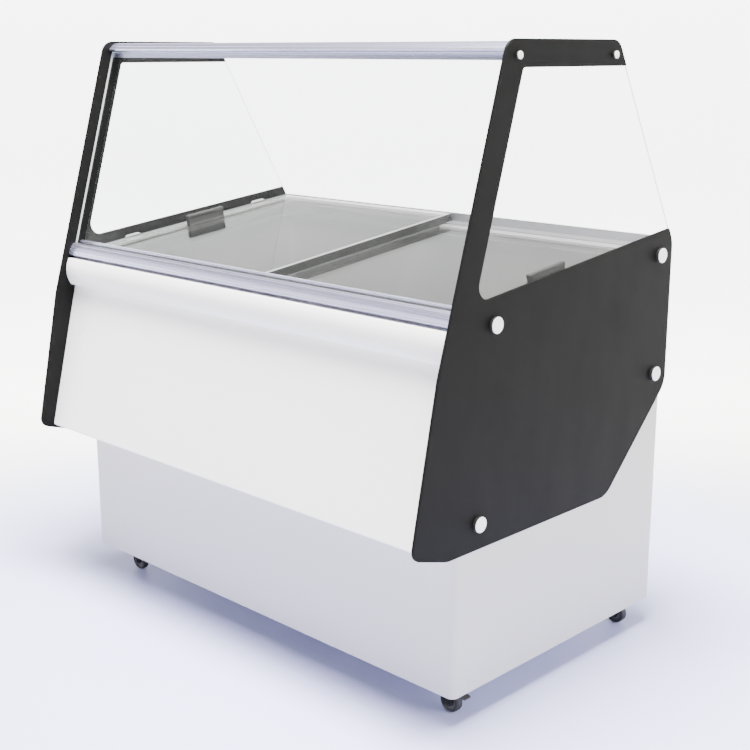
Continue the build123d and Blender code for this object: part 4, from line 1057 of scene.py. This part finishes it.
def hood(x, z):
    """A pressed hood: at (u, v) it bulges by 6 mm * sin(pi u)^0.35 * sin(pi/2 (1 - v))^0.8."""
    length, height, swell, sheet_thick = 186, 10, 6, 0.9
    u = np.linspace(0, 1, 13)[:, None]
    v = np.linspace(0, 1, 7)[None, :]
    bulge = np.sin(math.pi * u) ** 0.35 * np.sin(math.pi / 2 * v[:, ::-1]) ** 0.8
    outer = np.stack([
        np.broadcast_to(x + length * (u - 0.5), bulge.shape), GRILLE_FACE + 0.1 + swell * bulge,
        np.broadcast_to(z - 4.5 + height * v, bulge.shape)], -1)
    inner = outer - np.array([0, sheet_thick, 0])
    return loft(np.concatenate([outer, inner[:, ::-1]], axis=1))


LOWEST_SLOT, SLOT_PITCH = 70, 17
hoods = [
    hood(x, LOWEST_SLOT + SLOT_PITCH * row) for row in range(9) for x in (-230, -10, 210)]
piece("louvre_hoods", hoods, [grille_white])

# %% Knob
KNOB_X, KNOB_Z, KNOB_FACE = -410.0, 190.0, DEPTH + 14
angle = np.linspace(0, 2 * math.pi, 144, endpoint=False)
wave = 12.6 + 0.5 * np.cos(12 * angle)
rim = np.column_stack([KNOB_X + wave * np.cos(angle), KNOB_Z + wave * np.sin(angle)])
left, right, low, high = KNOB_X - 0.9, KNOB_X + 0.9, KNOB_Z + 2, KNOB_Z + 11
pointer = outline(
    (left, low, 0.8), (right, low, 0.8), (right, high, 0.8), (left, high, 0.8), step=30)
piece("knob_body", [plate(rim, GRILLE_FACE + 0.4, KNOB_FACE, 1.4, "y", steps=4)],
      [black_plastic], "knob", ["thermostat_knob"])
piece("knob_pointer", [plate(pointer, KNOB_FACE - 0.4, KNOB_FACE + 0.6, 0.3, "y")], [cap_white],
      "knob")

# %% [markdown]
# ## Parts that keep their drawn shape
#
# Flat trays, bolts, the compressor and its pipes are already the right shape, so each of
# them only takes a finish.

# %% Finishes for the carried-over parts
FINISHES = {
    zinc: "base_pan cladding_brackets grille_screws fan_shroud fan_motor panel_bolts rail_bolts",
    foam: "insulation_foam",
    rubber: "glass_gasket compressor_grommets drain_plug",
    grille_white: "rear_grille",
    black_plastic: "controller_box mains_inlet panel_spacers",
    steel_black: "compressor condenser",
    copper: "refrigerant_lines",
    handle_grey: "fan_rotor",
    pipe_white: "drain_tube",
}
for finish, names in FINISHES.items():
    for name in names.split():
        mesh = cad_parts[name].data
        mesh.materials.clear()
        mesh.materials.append(finish.material)
print("finished:", sum(len(names.split()) for names in FINISHES.values()), "drawn parts")

# %% [markdown]
# ## Studio
#
# A pale floor that curves up into a wall all round keeps every view clean. The key lamp is
# large and hangs above and a little in front, so each overhang throws a soft shadow on what
# is under it. Behind the freezer the floor and the wall glow, which keeps the background
# bright without lighting the front. A weak lamp on the customer's side and a stronger one
# beyond the right end soften the shadows.


# %% Sweep floor
def sweep_floor():
    """A dish: level out to 7 m, then a quarter circle of 2 m up into a wall, turned about Z."""
    flat, bend, top, count = 7.0, 2.0, 5.0, 96
    profile = [(0.05, 0.0), (3.0, 0.0), (flat, 0.0)]
    profile += [
        (flat + bend * math.sin(a), bend * (1 - math.cos(a)))
        for a in np.linspace(0, math.pi / 2, 16)[1:]]
    radius, rise = np.array([*profile, (flat + bend, top)]).T
    angle = np.linspace(0, 2 * math.pi, count, endpoint=False)
    grid = np.stack([
        radius[:, None] * np.cos(angle), radius[:, None] * np.sin(angle),
        np.broadcast_to(rise[:, None], (len(radius), count))], -1)
    index = np.arange(grid.shape[0] * count).reshape(-1, count)
    near, far = index[:-1], index[1:]
    quads = np.stack([near, far, np.roll(far, -1, 1), np.roll(near, -1, 1)], -1).reshape(-1, 4)
    return grid.reshape(-1, 3), quads.tolist() + [index[0].tolist()]


floor_points, floor_faces = sweep_floor()
floor_mesh = bpy.data.meshes.new("studio_floor")
floor_mesh.from_pydata(floor_points.tolist(), [], floor_faces)
floor_mesh.polygons.foreach_set("use_smooth", [True] * len(floor_faces))
floor = bpy.data.objects.new("studio_floor", floor_mesh)
bpy.context.scene.collection.objects.link(floor)
print("sweep floor has", len(floor_faces), "faces")

# %% Floor paint, with a painted shadow tint of lilac near the freezer, plain further off, and its glow
BACKWARDS = (-0.7, 0.714, 0.0)
SHADOW_LILAC = (0.68, 0.7, 1.08)
paint = Finish("studio_floor", Roughness=0.45, Specular_IOR_Level=0.3, Emission_Strength=1.0)
spot = paint.node("TexCoord", output="Object")


def eased(value, low, high, start=0.0, end=1.0):
    """From start to end as the value goes from low to high, easing in and out."""
    return paint.node(
        "MapRange", {"interpolation_type": "SMOOTHSTEP"},
        {"Value": value, "From Min": low, "From Max": high, "To Min": start, "To Max": end})


behind = paint.node("VectorMath", {"operation": "DOT_PRODUCT"}, {0: spot, 1: BACKWARDS}, "Value")
rise = paint.node("SeparateXYZ", {}, {0: spot}, "Z")
distance = paint.node("VectorMath", {"operation": "LENGTH"}, {0: spot}, "Value")
glow = eased(behind, 0.4, 2.2) * eased(rise, 2.0, 2.7, 1.0, 0.0)
# The lilac near the freezer is a painted shadow tint: where lit it looks near white, and in the
# shade round the freezer it comes out blue.
painted_shadow_lilac = paint.blend(paint.grain(900), tone(0.84, SHADOW_LILAC), tone(0.86, SHADOW_LILAC))
paint.feed(
    Base_Color=paint.blend(eased(distance, 0.9, 2.0), painted_shadow_lilac, tone(0.86)),
    Emission_Color=glow * 4.0)
floor_mesh.materials.append(paint.material)
floor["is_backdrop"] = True


# %% Lamps and world
def lamp(name, place, aim, size, power, colour=(1, 1, 1)):
    """A square soft lamp at place, pointing at aim, in metres."""
    light = bpy.data.lights.new(name, "AREA")
    light.size, light.energy, light.color = size, power, colour
    holder = bpy.data.objects.new(name, light)
    holder.location = place
    x, y, z = np.array(place, float) - np.array(aim, float)
    holder.rotation_euler = (math.atan2(math.hypot(x, y), z), 0, math.atan2(x, -y))
    bpy.context.scene.collection.objects.link(holder)


lamp("overhead", (0.3, -0.5, 4.2), (0.05, -0.35, 0.0), 1.7, 1350, (1.0, 0.98, 0.93))
lamp("customer_side", (-2.2, -4.6, 2.0), (0, 0, 0.7), 2.2, 12)
lamp("end_side", (4.6, 0.9, 2.4), (0.4, 0, 0.6), 2.2, 190)

world = bpy.data.worlds.new("studio")
world.use_nodes = True
sky = world.node_tree.nodes["Background"].inputs
sky["Color"].default_value, sky["Strength"].default_value = (0.93, 0.94, 1.0, 1.0), 0.35
bpy.context.scene.world = world
print("lamps:", ", ".join(light.name for light in bpy.data.lights))

# %% Camera
LOOK_DOWN, LOOK_ROUND = 14.23, 44.31
camera = bpy.data.objects.new("camera", bpy.data.cameras.new("camera"))
camera.data.lens, camera.data.sensor_width = 61.5, 36.0
camera.location = ORIGIN + np.array([2.1723, -1.8058, 1.2868])
camera.rotation_euler = (math.radians(90 - LOOK_DOWN), 0, math.radians(LOOK_ROUND))
bpy.context.scene.collection.objects.link(camera)
bpy.context.scene.camera = camera

# %% Measure and finish
low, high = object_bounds()
print("visual size:", [round(b - a, 4) for a, b in zip(low, high)])
